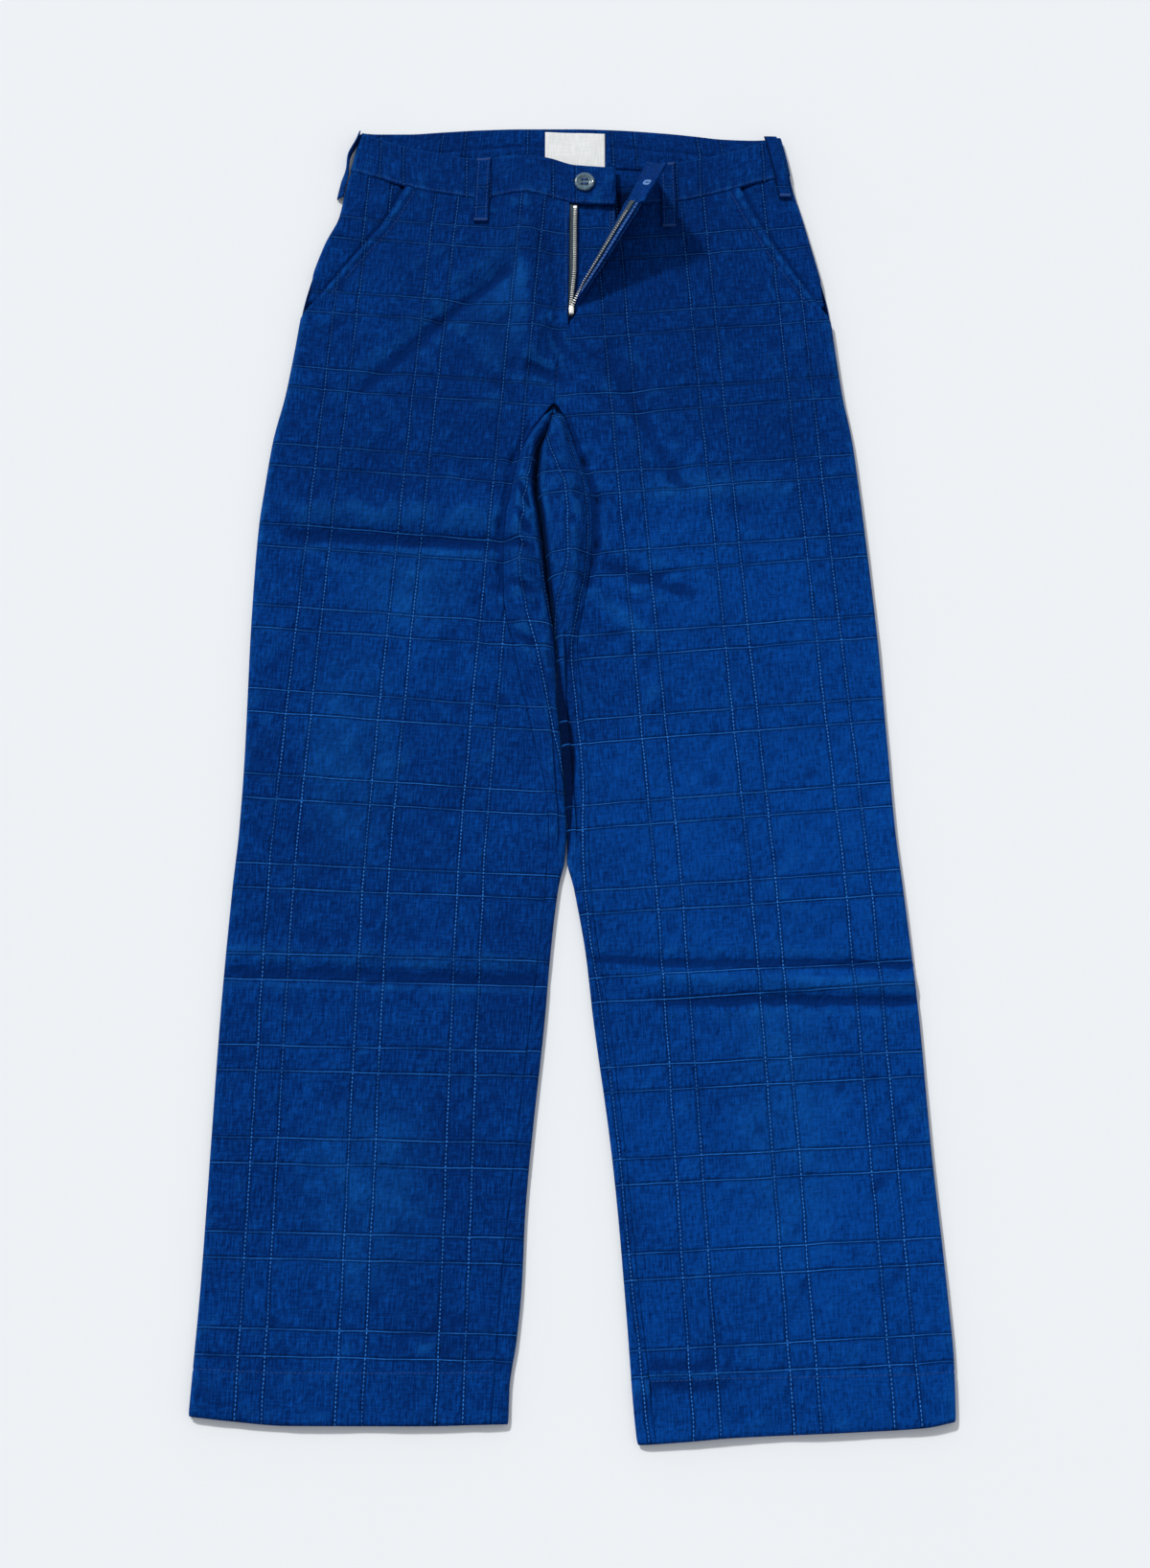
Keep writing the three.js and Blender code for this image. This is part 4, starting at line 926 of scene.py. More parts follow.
def make_stitches(sewing, seam_thread, pale_thread):
    """Rows of stitches: hems, band, pockets, fly, loops, shield and buttonhole."""
    length, gap, radius = sewing.stitch / MM, sewing.gap / MM, sewing.thread / MM / 2
    dark, pale = [], []
    for side in ("right", "left"):
        for (path, out), away, lift in (
            (front_row_path(side, HEM_DEPTH - 1, 1, 1), -0.22, 0.0),
            (pocket_path(side, POCKET_SEWING), -0.25, 0.0),
            (band_path(side, 0.055, 2, 2), BAND_RAISE, 0.05),
        ):
            dark.append(stitch_run(path + away * out, out, length, gap, radius, lift))
    for from_edge in (2.0, 5.2):
        path, out = flap_path(from_edge, 913, BAND_LINE - 1)
        inner = -(CLOTH + LAYER_GAP + LINING_CLOTH)
        pale.append(stitch_run(path + inner * out, -out, length, 0.5 * gap, radius * 1.1, 0.05))
        pale.append(stitch_run(path, out, length, gap, radius, 0.05))
    x, up = np.full(80, fold_at("right", np.array(950.0)) - 2.6), np.linspace(893, BAND_LINE - 4, 80)
    path, out = strip(-1.0, on_top("right", x, up), on_top("right", x + 1, up))
    dark.append(stitch_run(path, out, length, gap, radius, 0.1))
    for from_end in (1.6, 5.0):
        x, up = np.full(80, SHIELD_EDGE - from_end), np.linspace(885, BAND_LINE - 13, 80)
        path, out = strip(-1.0, on_top("right", x, up), on_top("right", x + 1, up))
        dark.append(stitch_run(path - SHIELD_DEPTH * out, out, length, gap, radius, 0.05))
    dark += loop_edges(length, gap, radius) + loop_tacks(radius)
    dark_thread = make_piece("seam_stitches", *frame_stitches(dark), seam_thread)
    pale += buttonhole(radius)
    pale_piece = make_piece("pale_stitches", *frame_stitches(pale), pale_thread)


def frame_stitches(runs):
    place, faces = stitch_meshes(runs)
    return to_frame(place), faces


def loop_edges(length, gap, radius):
    """A row of stitches along both edges of the front loops, riding on their bow."""
    runs = []
    for side, top, foot, foot_up in FRONT_LOOPS:
        for across in (-0.66, 0.66):
            t = np.linspace(0.06, 0.94, 60)
            x, up = front_loop_place(top, foot, foot_up, across, t)
            out = np.tile([0.0, 0.0, 1.0], (60, 1))
            ride = LOOP_LIFT + loop_bow(t) + loop_section(np.array(across))
            path = on_top(side, x, up) + out * ride[:, None]
            runs.append(stitch_run(path, out, length, gap, radius, 0.02))
    return runs


def tack_bar(side, x, up, lift, radius):
    """A bar of close stitches across a strap's end, each one along the strap."""
    low, high = on_top(side, x, up - 0.9), on_top(side, x, up + 0.9)
    count = len(x)
    out = np.tile([0.0, 0.0, 1.0], (count, 1))
    centre = (low + high) / 2 + out * lift
    return centre, unit(high - low), out, np.full(count, 1.15), np.full(count, radius * 0.9)


def loop_tacks(radius):
    """Bars of close stitches that hold the loops on the front at both ends."""
    runs = []
    across = np.linspace(-0.88, 0.88, 22)
    for side, top, foot, foot_up in FRONT_LOOPS:
        for t in (0.035, 0.965):
            x, up = front_loop_place(top, foot, foot_up, across, t)
            runs.append(tack_bar(side, x, up, LOOP_LIFT + 0.2, radius))
    x = seam_at("left", 1003.2) - 9 + across * 4.8
    runs.append(tack_bar("left", x, np.full(22, 1003.2), LOOP_LIFT + 0.2, radius))
    return runs


def buttonhole(radius):
    """Close stitches round a slit in the left half of the band, with a round eye at its end."""
    runs = []
    turn = np.linspace(0, 2 * np.pi, 60, False)
    inside = front_band_width("left") - 18.0 - 8.5 * np.cos(turn)
    across = 0.5 + (1.4 + 0.5 * (np.cos(turn) < -0.6)) * np.sin(turn) / BAND_DEPTH
    here = front_band_surface("left", inside, across)
    wide = front_band_surface("left", inside, across + 0.001)
    further = front_band_surface("left", inside + 0.05, across)
    out = unit(INWARD["left"] * np.cross(further - here, wide - here))
    away = unit(wide - here) * np.sign(np.sin(turn) + 1e-9)[:, None]
    for face, shift in ((1.0, BAND_RAISE + 0.08), (-1.0, BAND_RAISE - BAND_CLOTH - 0.08)):
        runs.append((here + out * shift, away, out * face, np.full(60, 1.1), np.full(60, radius * 1.1)))
    return runs


def super_block(centre, heading, normal, half, power=0.45, around=10, rings=7):
    """Rounded blocks: an ellipsoid whose sines and cosines are raised to a small power, one per centre.
    half is (across, along, height)."""
    polar = np.linspace(-np.pi / 2, np.pi / 2, rings + 2)[1:-1]
    turn = np.arange(around) * 2 * np.pi / around

    def bulge(value):
        return np.sign(value) * np.abs(value) ** power

    across = half[0] * bulge(np.cos(polar))[:, None] * bulge(np.cos(turn))
    along = half[1] * bulge(np.cos(polar))[:, None] * bulge(np.sin(turn))
    height = half[2] * bulge(np.sin(polar))[:, None] + 0 * turn
    normal = unit(normal - heading * np.einsum("ij,ij->i", normal, heading)[:, None])
    sideways = np.cross(heading, normal)
    place = (centre[:, None, None] + sideways[:, None, None] * across[..., None]
             + heading[:, None, None] * along[..., None] + normal[:, None, None] * height[..., None])
    return place.reshape(-1, 3), ring_faces(len(centre), rings, around, True)


def join_blocks(blocks):
    """Joins several lots of vertices and faces into one."""
    places, faces, count = [], [], 0
    for place, quads in blocks:
        faces += [[index + count for index in face] for face in quads]
        places.append(place)
        count += len(place)
    return np.concatenate(places), faces


def slider_height():
    """Height of the inside of the upper cloth at the slider."""
    return float(cloth_height(np.array(SLIDER[0]), np.array(SLIDER[1]))) - CLOTH


def make_zip(zip_facts, metal):
    """Teeth along both tapes, and a stop past the last tooth of the right one."""
    pitch = zip_facts.pitch / MM
    half = (0.42 * zip_facts.width / MM, 0.22 * pitch, 0.8)
    up = np.arange(901, 993, pitch)
    x = fold_at("right", up) + right_tape_shown(up) - 1.9
    place, normal = strip(-1.0, on_top("right", x, up), on_top("right", x + 1, up))
    heading = unit(np.gradient(place, axis=0))
    right = super_block(place + normal * (-CLOTH - LAYER_GAP + 0.55), heading, normal, half)
    stop_half = (half[0] * 1.1, 0.7 * pitch, 0.85)
    stop_at = place[-1:] + heading[-1:] * 1.3 * pitch + normal[-1:] * (-CLOTH - LAYER_GAP + 0.6)
    stop = super_block(stop_at, heading[-1:], normal[-1:], stop_half)
    row = np.linspace(922, BAND_LINE - 9, 300)[:, None]
    share = fly_width("left", row) / 8
    dense = flap_surface(share + 0.8, row)[0][:, 0]
    beside = flap_surface(share + 1.6, row)[0][:, 0]
    dense, out = strip(-1.0, dense, beside)
    inner = CLOTH + LINING_CLOTH + 2.3 * LAYER_GAP + TAPE_CLOTH + 0.45
    # Below the flap's inside the chain runs straight down to the slider
    t = np.linspace(0, 1, 60, False)[:, None]
    foot = np.array([SLIDER[0] + 1.2, SLIDER[1] + 4.5, slider_height() + 1.0])
    dense = np.concatenate([mix(foot, dense[0] - inner * out[0], t), dense - inner * out])
    out = np.concatenate([mix(np.array([0.0, 0.0, -1.0]), out[0], t), out])
    travelled = lengths_to(dense)
    at = np.arange(0, travelled[-1], pitch)
    place, normal = pick(dense, travelled, at), -pick(unit(out), travelled, at)
    left = super_block(place, unit(np.gradient(place, axis=0)), normal, half)
    place, faces = join_blocks([right, left, stop])
    teeth = make_piece("zip_teeth", to_frame(place), faces, metal)


def make_slider(metal):
    """Slider at the foot of the zip: two plates with a bridge between them, and a ridge on its top plate."""
    along, level = np.array([[0.0, 1.0, 0.0]]), np.array([[0.0, 0.0, 1.0]])
    at = np.array([[SLIDER[0], SLIDER[1], slider_height() + 0.3]])
    blocks = [
        super_block(at + [0, 0, 0.1], along, level, (2.1, 3.9, 0.4), 0.45, 20, 7),
        super_block(at + [0, 0, 1.3], along, level, (2.0, 3.6, 0.36), 0.5, 20, 7),
        super_block(at + [0, 1.6, 0.7], along, level, (0.8, 1.4, 0.7), 0.5, 12, 7),
        super_block(at + [0, -0.2, 1.62], along, level, (0.55, 1.7, 0.22), 0.7, 12, 7),
    ]
    place, faces = join_blocks(blocks)
    piece = make_piece("zip_slider_metal", to_frame(place), faces, metal)
    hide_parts("zip_slider")


# How far the button's holes are from its middle, both ways
HOLE_AWAY = 2.1
BUTTON_PROFILE = np.array([
    (0.0, 1.75), (2.6, 1.7), (4.4, 1.72), (5.1, 1.95), (5.7, 2.6), (6.4, 2.95), (7.2, 2.95), (7.9, 2.6),
    (8.35, 2.0), (8.5, 1.4), (8.3, 0.85), (7.6, 0.4), (6.0, 0.12), (3.0, 0.0), (0.0, 0.0),
])


def lathe(profile, around=72):
    """A profile of (radius, height) turned about the upright axis, closed in a point at both ends."""
    turn = np.arange(around) * 2 * np.pi / around
    body = profile[1:-1]
    ring = np.stack([body[:, :1] * np.cos(turn), body[:, :1] * np.sin(turn), body[:, 1:] + 0 * turn], -1)
    place = np.concatenate([ring.reshape(-1, 3), [[0, 0, profile[0, 1]], [0, 0, profile[-1, 1]]]])
    at = np.arange(len(body) * around).reshape(len(body), around)
    beside = np.roll(at, -1, 1)
    quads = np.stack([at[:-1], at[1:], beside[1:], beside[:-1]], -1).reshape(-1, 4).tolist()
    top, bottom = at.size, at.size + 1
    quads += [[int(a), int(b), top] for a, b in zip(at[0], beside[0])]
    quads += [[int(b), int(a), bottom] for a, b in zip(at[-1], beside[-1])]
    return place, quads


def make_button(resin, thread):
    """A dished resin button with a raised rim and four holes, sewn on through them."""
    base = float(cloth_height(np.array(BUTTON[0]), np.array(BUTTON[1]))) + BAND_RAISE + LAYER_GAP
    seat = np.array([BUTTON[0], BUTTON[1], base])
    place, faces = lathe(BUTTON_PROFILE)
    button = make_piece("resin_button", to_frame(place + seat), faces, resin)
    cutter_profile = np.array([(0, 5.0), (1.05, 5.0), (1.05, -2.0), (0, -2.0)])
    for x, y in [(a * HOLE_AWAY, b * HOLE_AWAY) for a in (-1, 1) for b in (-1, 1)]:
        hole, hole_faces = lathe(cutter_profile, 20)
        cutter = make_piece("cutter", to_frame(hole + seat + [x, y, 0]), hole_faces, resin)
        cut = button.modifiers.new("hole", "BOOLEAN")
        cut.operation, cut.solver, cut.object = "DIFFERENCE", "EXACT", cutter
        solid = bpy.data.meshes.new_from_object(button.evaluated_get(bpy.context.evaluated_depsgraph_get()))
        button.modifiers.clear()
        button.data = solid
        bpy.data.objects.remove(cutter)
    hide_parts("button")
    runs = []
    for offset in (-0.45, 0.0, 0.45):
        centre = seat + np.array([(0, HOLE_AWAY + offset, 1.95), (0, -HOLE_AWAY + offset, 1.95)])
        heading, out = np.tile([1.0, 0, 0], (2, 1)), np.tile([0, 0, 1.0], (2, 1))
        runs.append((centre, heading, out, np.full(2, 2.2), np.full(2, 0.26)))
    knot = np.array([[-2.0, 1018.0, base - 0.1]])
    runs.append((knot, np.array([[0.8, 0.6, 0]]), np.array([[0, 0, 1.0]]), np.array([1.3]), np.array([0.55])))
    threads = make_piece("button_threads", *frame_stitches(runs), thread)


class Wiring:
    """Adds nodes to a tree and joins their sockets: a value is put in, an output is linked."""

    def __init__(self, tree):
        self.tree = tree

    def node(self, kind, values=None, **settings):
        node = self.tree.nodes.new(kind)
        for name, value in settings.items():
            setattr(node, name, value)
        self.fill(node.inputs, values or {})
        return node

    def fill(self, sockets, values):
        for name, value in values.items():
            self.put(sockets[name], value)

    def put(self, socket, value):
        if isinstance(value, bpy.types.NodeSocket):
            self.tree.links.new(value, socket)
        else:
            socket.default_value = value

    def math(self, operation, *values):
        return self.node("ShaderNodeMath", dict(enumerate(values)), operation=operation).outputs[0]

    def times(self, first, second):
        return self.math("MULTIPLY", first, second)

    def plus(self, first, second):
        return self.math("ADD", first, second)

    def minus(self, first, second):
        return self.math("SUBTRACT", first, second)

    def vector_math(self, operation, *values):
        return self.node("ShaderNodeVectorMath", dict(enumerate(values)), operation=operation).outputs

    def place(self):
        return self.node("ShaderNodeTexCoord").outputs["Object"]

    def weave(self):
        return self.node("ShaderNodeUVMap", uv_map="weave").outputs["UV"]

    def bump(self, height, strength, distance, under=None):
        """The surface's direction over a relief, on top of the one given."""
        values = {"Height": height, "Strength": strength, "Distance": distance}
        if under is not None:
            values["Normal"] = under
        return self.node("ShaderNodeBump", values).outputs[0]

    def ramp(self, value, start, end, low=0.0, high=1.0):
        values = {"Value": value, "From Min": start, "From Max": end, "To Min": low, "To Max": high}
        return self.node("ShaderNodeMapRange", values, interpolation_type="SMOOTHSTEP").outputs["Result"]

    def blend(self, share, first, second):
        node = self.node("ShaderNodeMix", data_type="RGBA")
        for socket, value in zip([node.inputs[0], node.inputs[6], node.inputs[7]], [share, first, second]):
            self.put(socket, value)
        return node.outputs[2]

    def noise(self, vector, scale, detail=2.0, roughness=0.5):
        values = {"Vector": vector, "Scale": scale, "Detail": detail, "Roughness": roughness}
        return self.node("ShaderNodeTexNoise", values).outputs["Fac"]

    def stretch(self, vector, scale):
        values = {"Vector": vector, "Scale": scale}
        return self.node("ShaderNodeMapping", values).outputs["Vector"]

    def group(self, name, values):
        return self.node("ShaderNodeGroup", values, node_tree=bpy.data.node_groups[name])


def new_group(name, inputs, outputs):
    """An empty node group with named sockets: inputs and outputs are (name, kind, default)."""
    tree = bpy.data.node_groups.new(name, "ShaderNodeTree")
    for label, kind, value in inputs:
        socket = tree.interface.new_socket(name=label, in_out="INPUT", socket_type=kind)
        if value is not None:
            socket.default_value = value
    for label, kind in outputs:
        tree.interface.new_socket(name=label, in_out="OUTPUT", socket_type=kind)
    wiring = Wiring(tree)
    return wiring, tree.nodes.new("NodeGroupInput").outputs, tree.nodes.new("NodeGroupOutput").inputs


FLOAT, VECTOR = "NodeSocketFloat", "NodeSocketVector"


def build_check_group():
    """Pairs of lines both ways: a running stitch along the warp and a raised cord along the weft."""
    inputs = [("Weave", VECTOR, None), ("Warp Spacing", FLOAT, 0.072), ("Weft Spacing", FLOAT, 0.07035),
              ("Pair Gap", FLOAT, 0.0193), ("Stitch", FLOAT, 0.003)]
    outputs = [("Warp Thread", FLOAT), ("Weft Thread", FLOAT), ("Groove", FLOAT), ("Height", FLOAT)]
    wiring, given, out = new_group("check lines", inputs, outputs)
    parts = wiring.node("ShaderNodeSeparateXYZ", {0: given["Weave"]}).outputs
    wander = wiring.noise(given["Weave"], 26.0, 1.0)
    sway = wiring.times(wiring.minus(wander, 0.5), 0.0018)

    def to_line(along, spacing, pair):
        moved = wiring.plus(along, sway)
        turn = wiring.math("FRACT", wiring.math("DIVIDE", moved, spacing))
        place = wiring.times(turn, spacing)
        first = wiring.math("MINIMUM", place, wiring.minus(spacing, place))
        second = wiring.math("ABSOLUTE", wiring.minus(place, pair))
        return wiring.math("MINIMUM", first, second)

    across = to_line(parts["X"], given["Warp Spacing"], given["Pair Gap"])
    weft_pair = wiring.minus(given["Weft Spacing"], given["Pair Gap"])
    along = to_line(parts["Y"], given["Weft Spacing"], weft_pair)
    rhythm = wiring.math("FRACT", wiring.math("DIVIDE", wiring.plus(parts["Y"], sway), given["Stitch"]))
    dash = wiring.ramp(wiring.math("ABSOLUTE", wiring.minus(rhythm, 0.5)), 0.2, 0.32, 1.0, 0.0)
    fade = wiring.noise(wiring.stretch(given["Weave"], (40.0, 14.0, 1.0)), 1.0, 2.0)
    fade = wiring.ramp(fade, 0.34, 0.6, 0.3, 1.0)
    warp_line = wiring.ramp(across, 0.0002, 0.0007, 1.0, 0.0)
    warp = wiring.times(wiring.times(warp_line, dash), fade)
    weft_line = wiring.ramp(along, 0.0002, 0.0006, 1.0, 0.0)
    patchy = wiring.noise(wiring.stretch(given["Weave"], (18.0, 60.0, 1.0)), 1.0, 2.0)
    patchy = wiring.ramp(patchy, 0.36, 0.6, 0.3, 1.0)
    weft = wiring.times(weft_line, patchy)
    warp_side = wiring.ramp(across, 0.0007, 0.0026, 1.0, 0.0)
    weft_side = wiring.ramp(along, 0.0008, 0.0026, 1.0, 0.0)
    groove = wiring.math("MAXIMUM", wiring.minus(warp_side, warp_line),
                         wiring.minus(weft_side, weft_line))
    raised = wiring.math("MAXIMUM", warp, weft_line)
    height = wiring.minus(raised, wiring.times(groove, 0.8))
    wiring.fill(out, {"Warp Thread": warp, "Weft Thread": weft, "Groove": groove, "Height": height})


def build_weave_group():
    """Plain weave of uneven yarns: thick and thin places run along the yarns both ways."""
    inputs = [("Weave", VECTOR, None), ("Yarn", FLOAT, 0.0009)]
    outputs = [("Slub", FLOAT), ("Height", FLOAT), ("Crinkle", FLOAT)]
    wiring, given, out = new_group("slub weave", inputs, outputs)
    parts = wiring.node("ShaderNodeSeparateXYZ", {0: given["Weave"]}).outputs
    turns = [wiring.times(wiring.math("DIVIDE", parts[k], given["Yarn"]), 3.14159) for k in ("X", "Y")]
    warp, weft = (wiring.math("SINE", turn) for turn in turns)
    crossing = wiring.times(warp, weft)
    upright = wiring.noise(wiring.stretch(given["Weave"], (900.0, 70.0, 1.0)), 1.0, 3.0, 0.6)
    level = wiring.noise(wiring.stretch(given["Weave"], (70.0, 900.0, 1.0)), 1.0, 3.0, 0.6)
    slub = wiring.plus(wiring.times(upright, 0.62), wiring.times(level, 0.38))
    wiring.put(out["Slub"], slub)
    rough = wiring.times(wiring.minus(slub, 0.5), 2.2)
    wiring.put(out["Height"], wiring.plus(wiring.times(crossing, 0.5), rough))
    crinkle = wiring.noise(wiring.stretch(given["Weave"], (300.0, 210.0, 1.0)), 1.0, 3.0, 0.55)
    wiring.put(out["Crinkle"], crinkle)


def build_soft_spot_group():
    """A soft round-ended patch about a place in the garment, 1 inside it and 0 outside."""
    inputs = [("Place", VECTOR, None), ("Centre", VECTOR, None), ("Size", VECTOR, None)]
    wiring, given, out = new_group("soft spot", inputs, [("Mask", FLOAT)])
    away = wiring.vector_math("SUBTRACT", given["Place"], given["Centre"])[0]
    scaled = wiring.vector_math("DIVIDE", away, given["Size"])[0]
    wiring.put(out["Mask"], wiring.ramp(wiring.vector_math("LENGTH", scaled)["Value"], 0.25, 1.0, 1.0, 0.0))


def new_material(name):
    """An empty material with its surface shader, and the wiring to add to it."""
    material = bpy.data.materials.new(name)
    material.use_nodes = True
    wiring = Wiring(material.node_tree)
    shader = material.node_tree.nodes["Principled BSDF"]
    return material, wiring, shader


def solid_colour(colour, share=1.0):
    """A share of a colour, fully opaque."""
    return (*(share * value for value in colour[:3]), 1.0)


# Worn, paler places of the cloth in the part's frame: centre and half size in metres
WORN_PLACES = (
    ((0.16, -0.30, 0.0), (0.055, 0.16, 1.0)),
    ((-0.17, -0.02, 0.0), (0.05, 0.12, 1.0)),
    ((0.11, 0.21, 0.0), (0.085, 0.018, 1.0)),
    ((-0.06, 0.37, 0.0), (0.03, 0.09, 1.0)),
    ((-0.15, -0.36, 0.0), (0.07, 0.10, 1.0)),
    ((-0.13, 0.12, 0.0), (0.06, 0.05, 1.0)),
)


def build_cloth(cloth):
    """Indigo slub cotton: check lines, weave, mottled tone, worn patches, raised places paler as wear and
    painted highlight, painted shade in hollows and grooves, painted light on the left leg, and a soft nap.
    """
    material, wiring, shader = new_material("indigo_check_cloth")
    weave = wiring.weave()
    place = wiring.place()
    check = wiring.group("check lines", {
        "Weave": weave, "Warp Spacing": cloth.warp_spacing, "Weft Spacing": cloth.weft_spacing,
        "Pair Gap": cloth.pair_gap, "Stitch": cloth.dash,
    }).outputs
    slub = wiring.group("slub weave", {"Weave": weave, "Yarn": cloth.yarn}).outputs
    relief_wear_and_shade = wiring.node("ShaderNodeAttribute", attribute_name="relief").outputs["Fac"]
    mottle = wiring.noise(place, 34.0, 4.0, 0.62)
    broad = wiring.noise(place, 6.5, 2.0)
    # Paler on raised places, as wear and as a painted highlight, and in the worn patches
    wear_and_highlight = wiring.ramp(relief_wear_and_shade, 0.03, 0.6, 0.0, 0.4)
    for centre, size in WORN_PLACES:
        spot = wiring.group("soft spot", {"Place": place, "Centre": centre, "Size": size}).outputs["Mask"]
        wear_and_highlight = wiring.plus(wear_and_highlight, wiring.times(spot, 0.3))
    wear_and_highlight = wiring.times(wear_and_highlight, wiring.ramp(mottle, 0.35, 0.7, 0.35, 1.15))
    lines = wiring.times(wiring.ramp(slub["Slub"], 0.36, 0.66), 0.75)
    tone = lines
    for value, share in ((mottle, 0.5), (broad, 0.7), (slub["Crinkle"], 0.9)):
        tone = wiring.plus(tone, wiring.times(wiring.minus(value, 0.5), share))
    parts = wiring.node("ShaderNodeSeparateXYZ", {0: place}).outputs
    tone = wiring.plus(tone, wiring.ramp(parts["Y"], 0.05, 0.42, 0.1, -0.05))
    # Painted light: the left leg lighter below the hip
    lit_left_leg = wiring.ramp(parts["X"], 0.0, 0.08, 0.0, 0.22)
    below_hip = wiring.ramp(parts["Y"], 0.1, 0.35, 1.0, 0.0)
    tone = wiring.plus(tone, wiring.times(lit_left_leg, below_hip))
    faint = wiring.ramp(parts["Y"], 0.0, 0.36, 1.0, 0.5)
    colour_and_painted_light = wiring.blend(wiring.ramp(tone, 0.0, 1.1), solid_colour(cloth.deep), solid_colour(cloth.indigo))
    colour_and_painted_light = wiring.blend(wiring.times(wear_and_highlight, 0.7), colour_and_painted_light, solid_colour(cloth.wear_and_highlight))
    # Painted shade in hollows, and where wear_and_painted_shade is below 0
    painted_shade_in_hollows = wiring.ramp(relief_wear_and_shade, -0.6, -0.04, 0.85, 0.0)
    colour_and_painted_light = wiring.blend(painted_shade_in_hollows, colour_and_painted_light, solid_colour(cloth.deep))
    # Near-black painted shadow where the painted shade is deepest
    colour_and_painted_light = wiring.blend(wiring.ramp(relief_wear_and_shade, -2.6, -1.4, 0.9, 0.0), colour_and_painted_light, solid_colour(cloth.deep, 0.25))
    # Painted shade in the grooves beside the check lines
    colour_and_painted_light = wiring.blend(wiring.times(check["Groove"], 0.65), colour_and_painted_light, solid_colour(cloth.deep, 0.5))
    for thread, colour in (("Weft Thread", cloth.weft_thread), ("Warp Thread", cloth.warp_thread)):
        colour_and_painted_light = wiring.blend(wiring.times(check[thread], faint), colour_and_painted_light, solid_colour(colour))
    relief_normal = wiring.bump(slub["Crinkle"], 1.0, 0.0026)
    relief_normal = wiring.bump(slub["Height"], 0.55, 0.00022, relief_normal)
    relief_normal = wiring.bump(check["Height"], 0.8, 0.00055, relief_normal)
    wiring.fill(shader.inputs, {
        "Base Color": colour_and_painted_light, "Normal": relief_normal,
        "Roughness": wiring.ramp(slub["Slub"], 0.3, 0.7, 0.95, 0.82), "Specular IOR Level": 0.03,
        "Sheen Weight": 0.05, "Sheen Roughness": 0.5, "Sheen Tint": (0.02, 0.3, 1.0, 1.0),
    })
    return material


def build_tape(zip_facts):
    """Woven zip tape: a fine rib across a soft grey-blue."""
    material, wiring, shader = new_material("woven_tape")
    weave = wiring.weave()
    slub = wiring.group("slub weave", {"Weave": weave, "Yarn": 0.0006}).outputs
    dark, light = solid_colour(zip_facts.tape_colour, 0.45), solid_colour(zip_facts.tape_colour)
    colour = wiring.blend(wiring.ramp(slub["Slub"], 0.35, 0.65), dark, light)
    wiring.fill(shader.inputs, {
        "Base Color": colour, "Normal": wiring.bump(slub["Height"], 0.6, 0.0002), "Roughness": 0.85,
    })
    return material


def build_metal(zip_facts):
    """Old silvered metal: worn bright, duller in blotches."""
    material, wiring, shader = new_material("silvered_metal")
    blotch = wiring.noise(wiring.place(), 900.0, 3.0)
    dull, bright = solid_colour(zip_facts.metal_colour, 0.65), solid_colour(zip_facts.metal_colour)
    wiring.fill(shader.inputs, {
        "Base Color": wiring.blend(wiring.ramp(blotch, 0.35, 0.62), dull, bright),
        "Roughness": wiring.ramp(blotch, 0.3, 0.7, 0.52, 0.38), "Metallic": 1.0,
    })
    return material


def build_resin(button):
    """Dark polished resin with cloudy swirls."""
    material, wiring, shader = new_material("dark_resin")
    cloud = wiring.noise(wiring.stretch(wiring.place(), (1.0, 2.4, 1.0)), 260.0, 3.0, 0.6)
    dark = solid_colour(button.resin_colour)
    light = solid_colour([min(1.0, 2.1 * value + 0.02) for value in button.resin_colour])
    colour = wiring.blend(wiring.ramp(cloud, 0.35, 0.7), dark, light)
    wiring.fill(shader.inputs, {
        "Base Color": colour, "Roughness": wiring.ramp(cloud, 0.3, 0.7, 0.16, 0.3), "Coat Weight": 0.5,
    })
    return material


def build_label_cloth():
    """White woven label with a fine satin rib."""
    material, wiring, shader = new_material("white_satin")
    weave = wiring.weave()
    slub = wiring.group("slub weave", {"Weave": weave, "Yarn": 0.0004}).outputs
    grey, white = (0.66, 0.67, 0.66, 1.0), (0.82, 0.82, 0.81, 1.0)
    colour = wiring.blend(wiring.ramp(slub["Slub"], 0.3, 0.7), grey, white)
    wiring.fill(shader.inputs, {
        "Base Color": colour, "Normal": wiring.bump(slub["Height"], 0.4, 0.0001), "Roughness": 0.6,
    })
    return material


def build_thread(name, colour):
    """Sewing thread with a fine twist."""
    material, wiring, shader = new_material(name)
    twist = wiring.ramp(wiring.noise(wiring.place(), 1600.0, 2.0), 0.35, 0.65)
    twined = wiring.blend(twist, solid_colour(colour, 0.55), solid_colour(colour))
    wiring.fill(shader.inputs, {"Base Color": twined, "Roughness": 0.7})
    return material


def build_floor(stage):
    """Plain pale floor with the faintest mottle."""
    material, wiring, shader = new_material("floor")
    tone = wiring.noise(wiring.place(), 3.0, 2.0)
    mottled = wiring.blend(tone, solid_colour(stage.floor_colour, 0.985), solid_colour(stage.floor_colour))
    wiring.fill(shader.inputs, {"Base Color": mottled, "Roughness": 0.85})
    return material


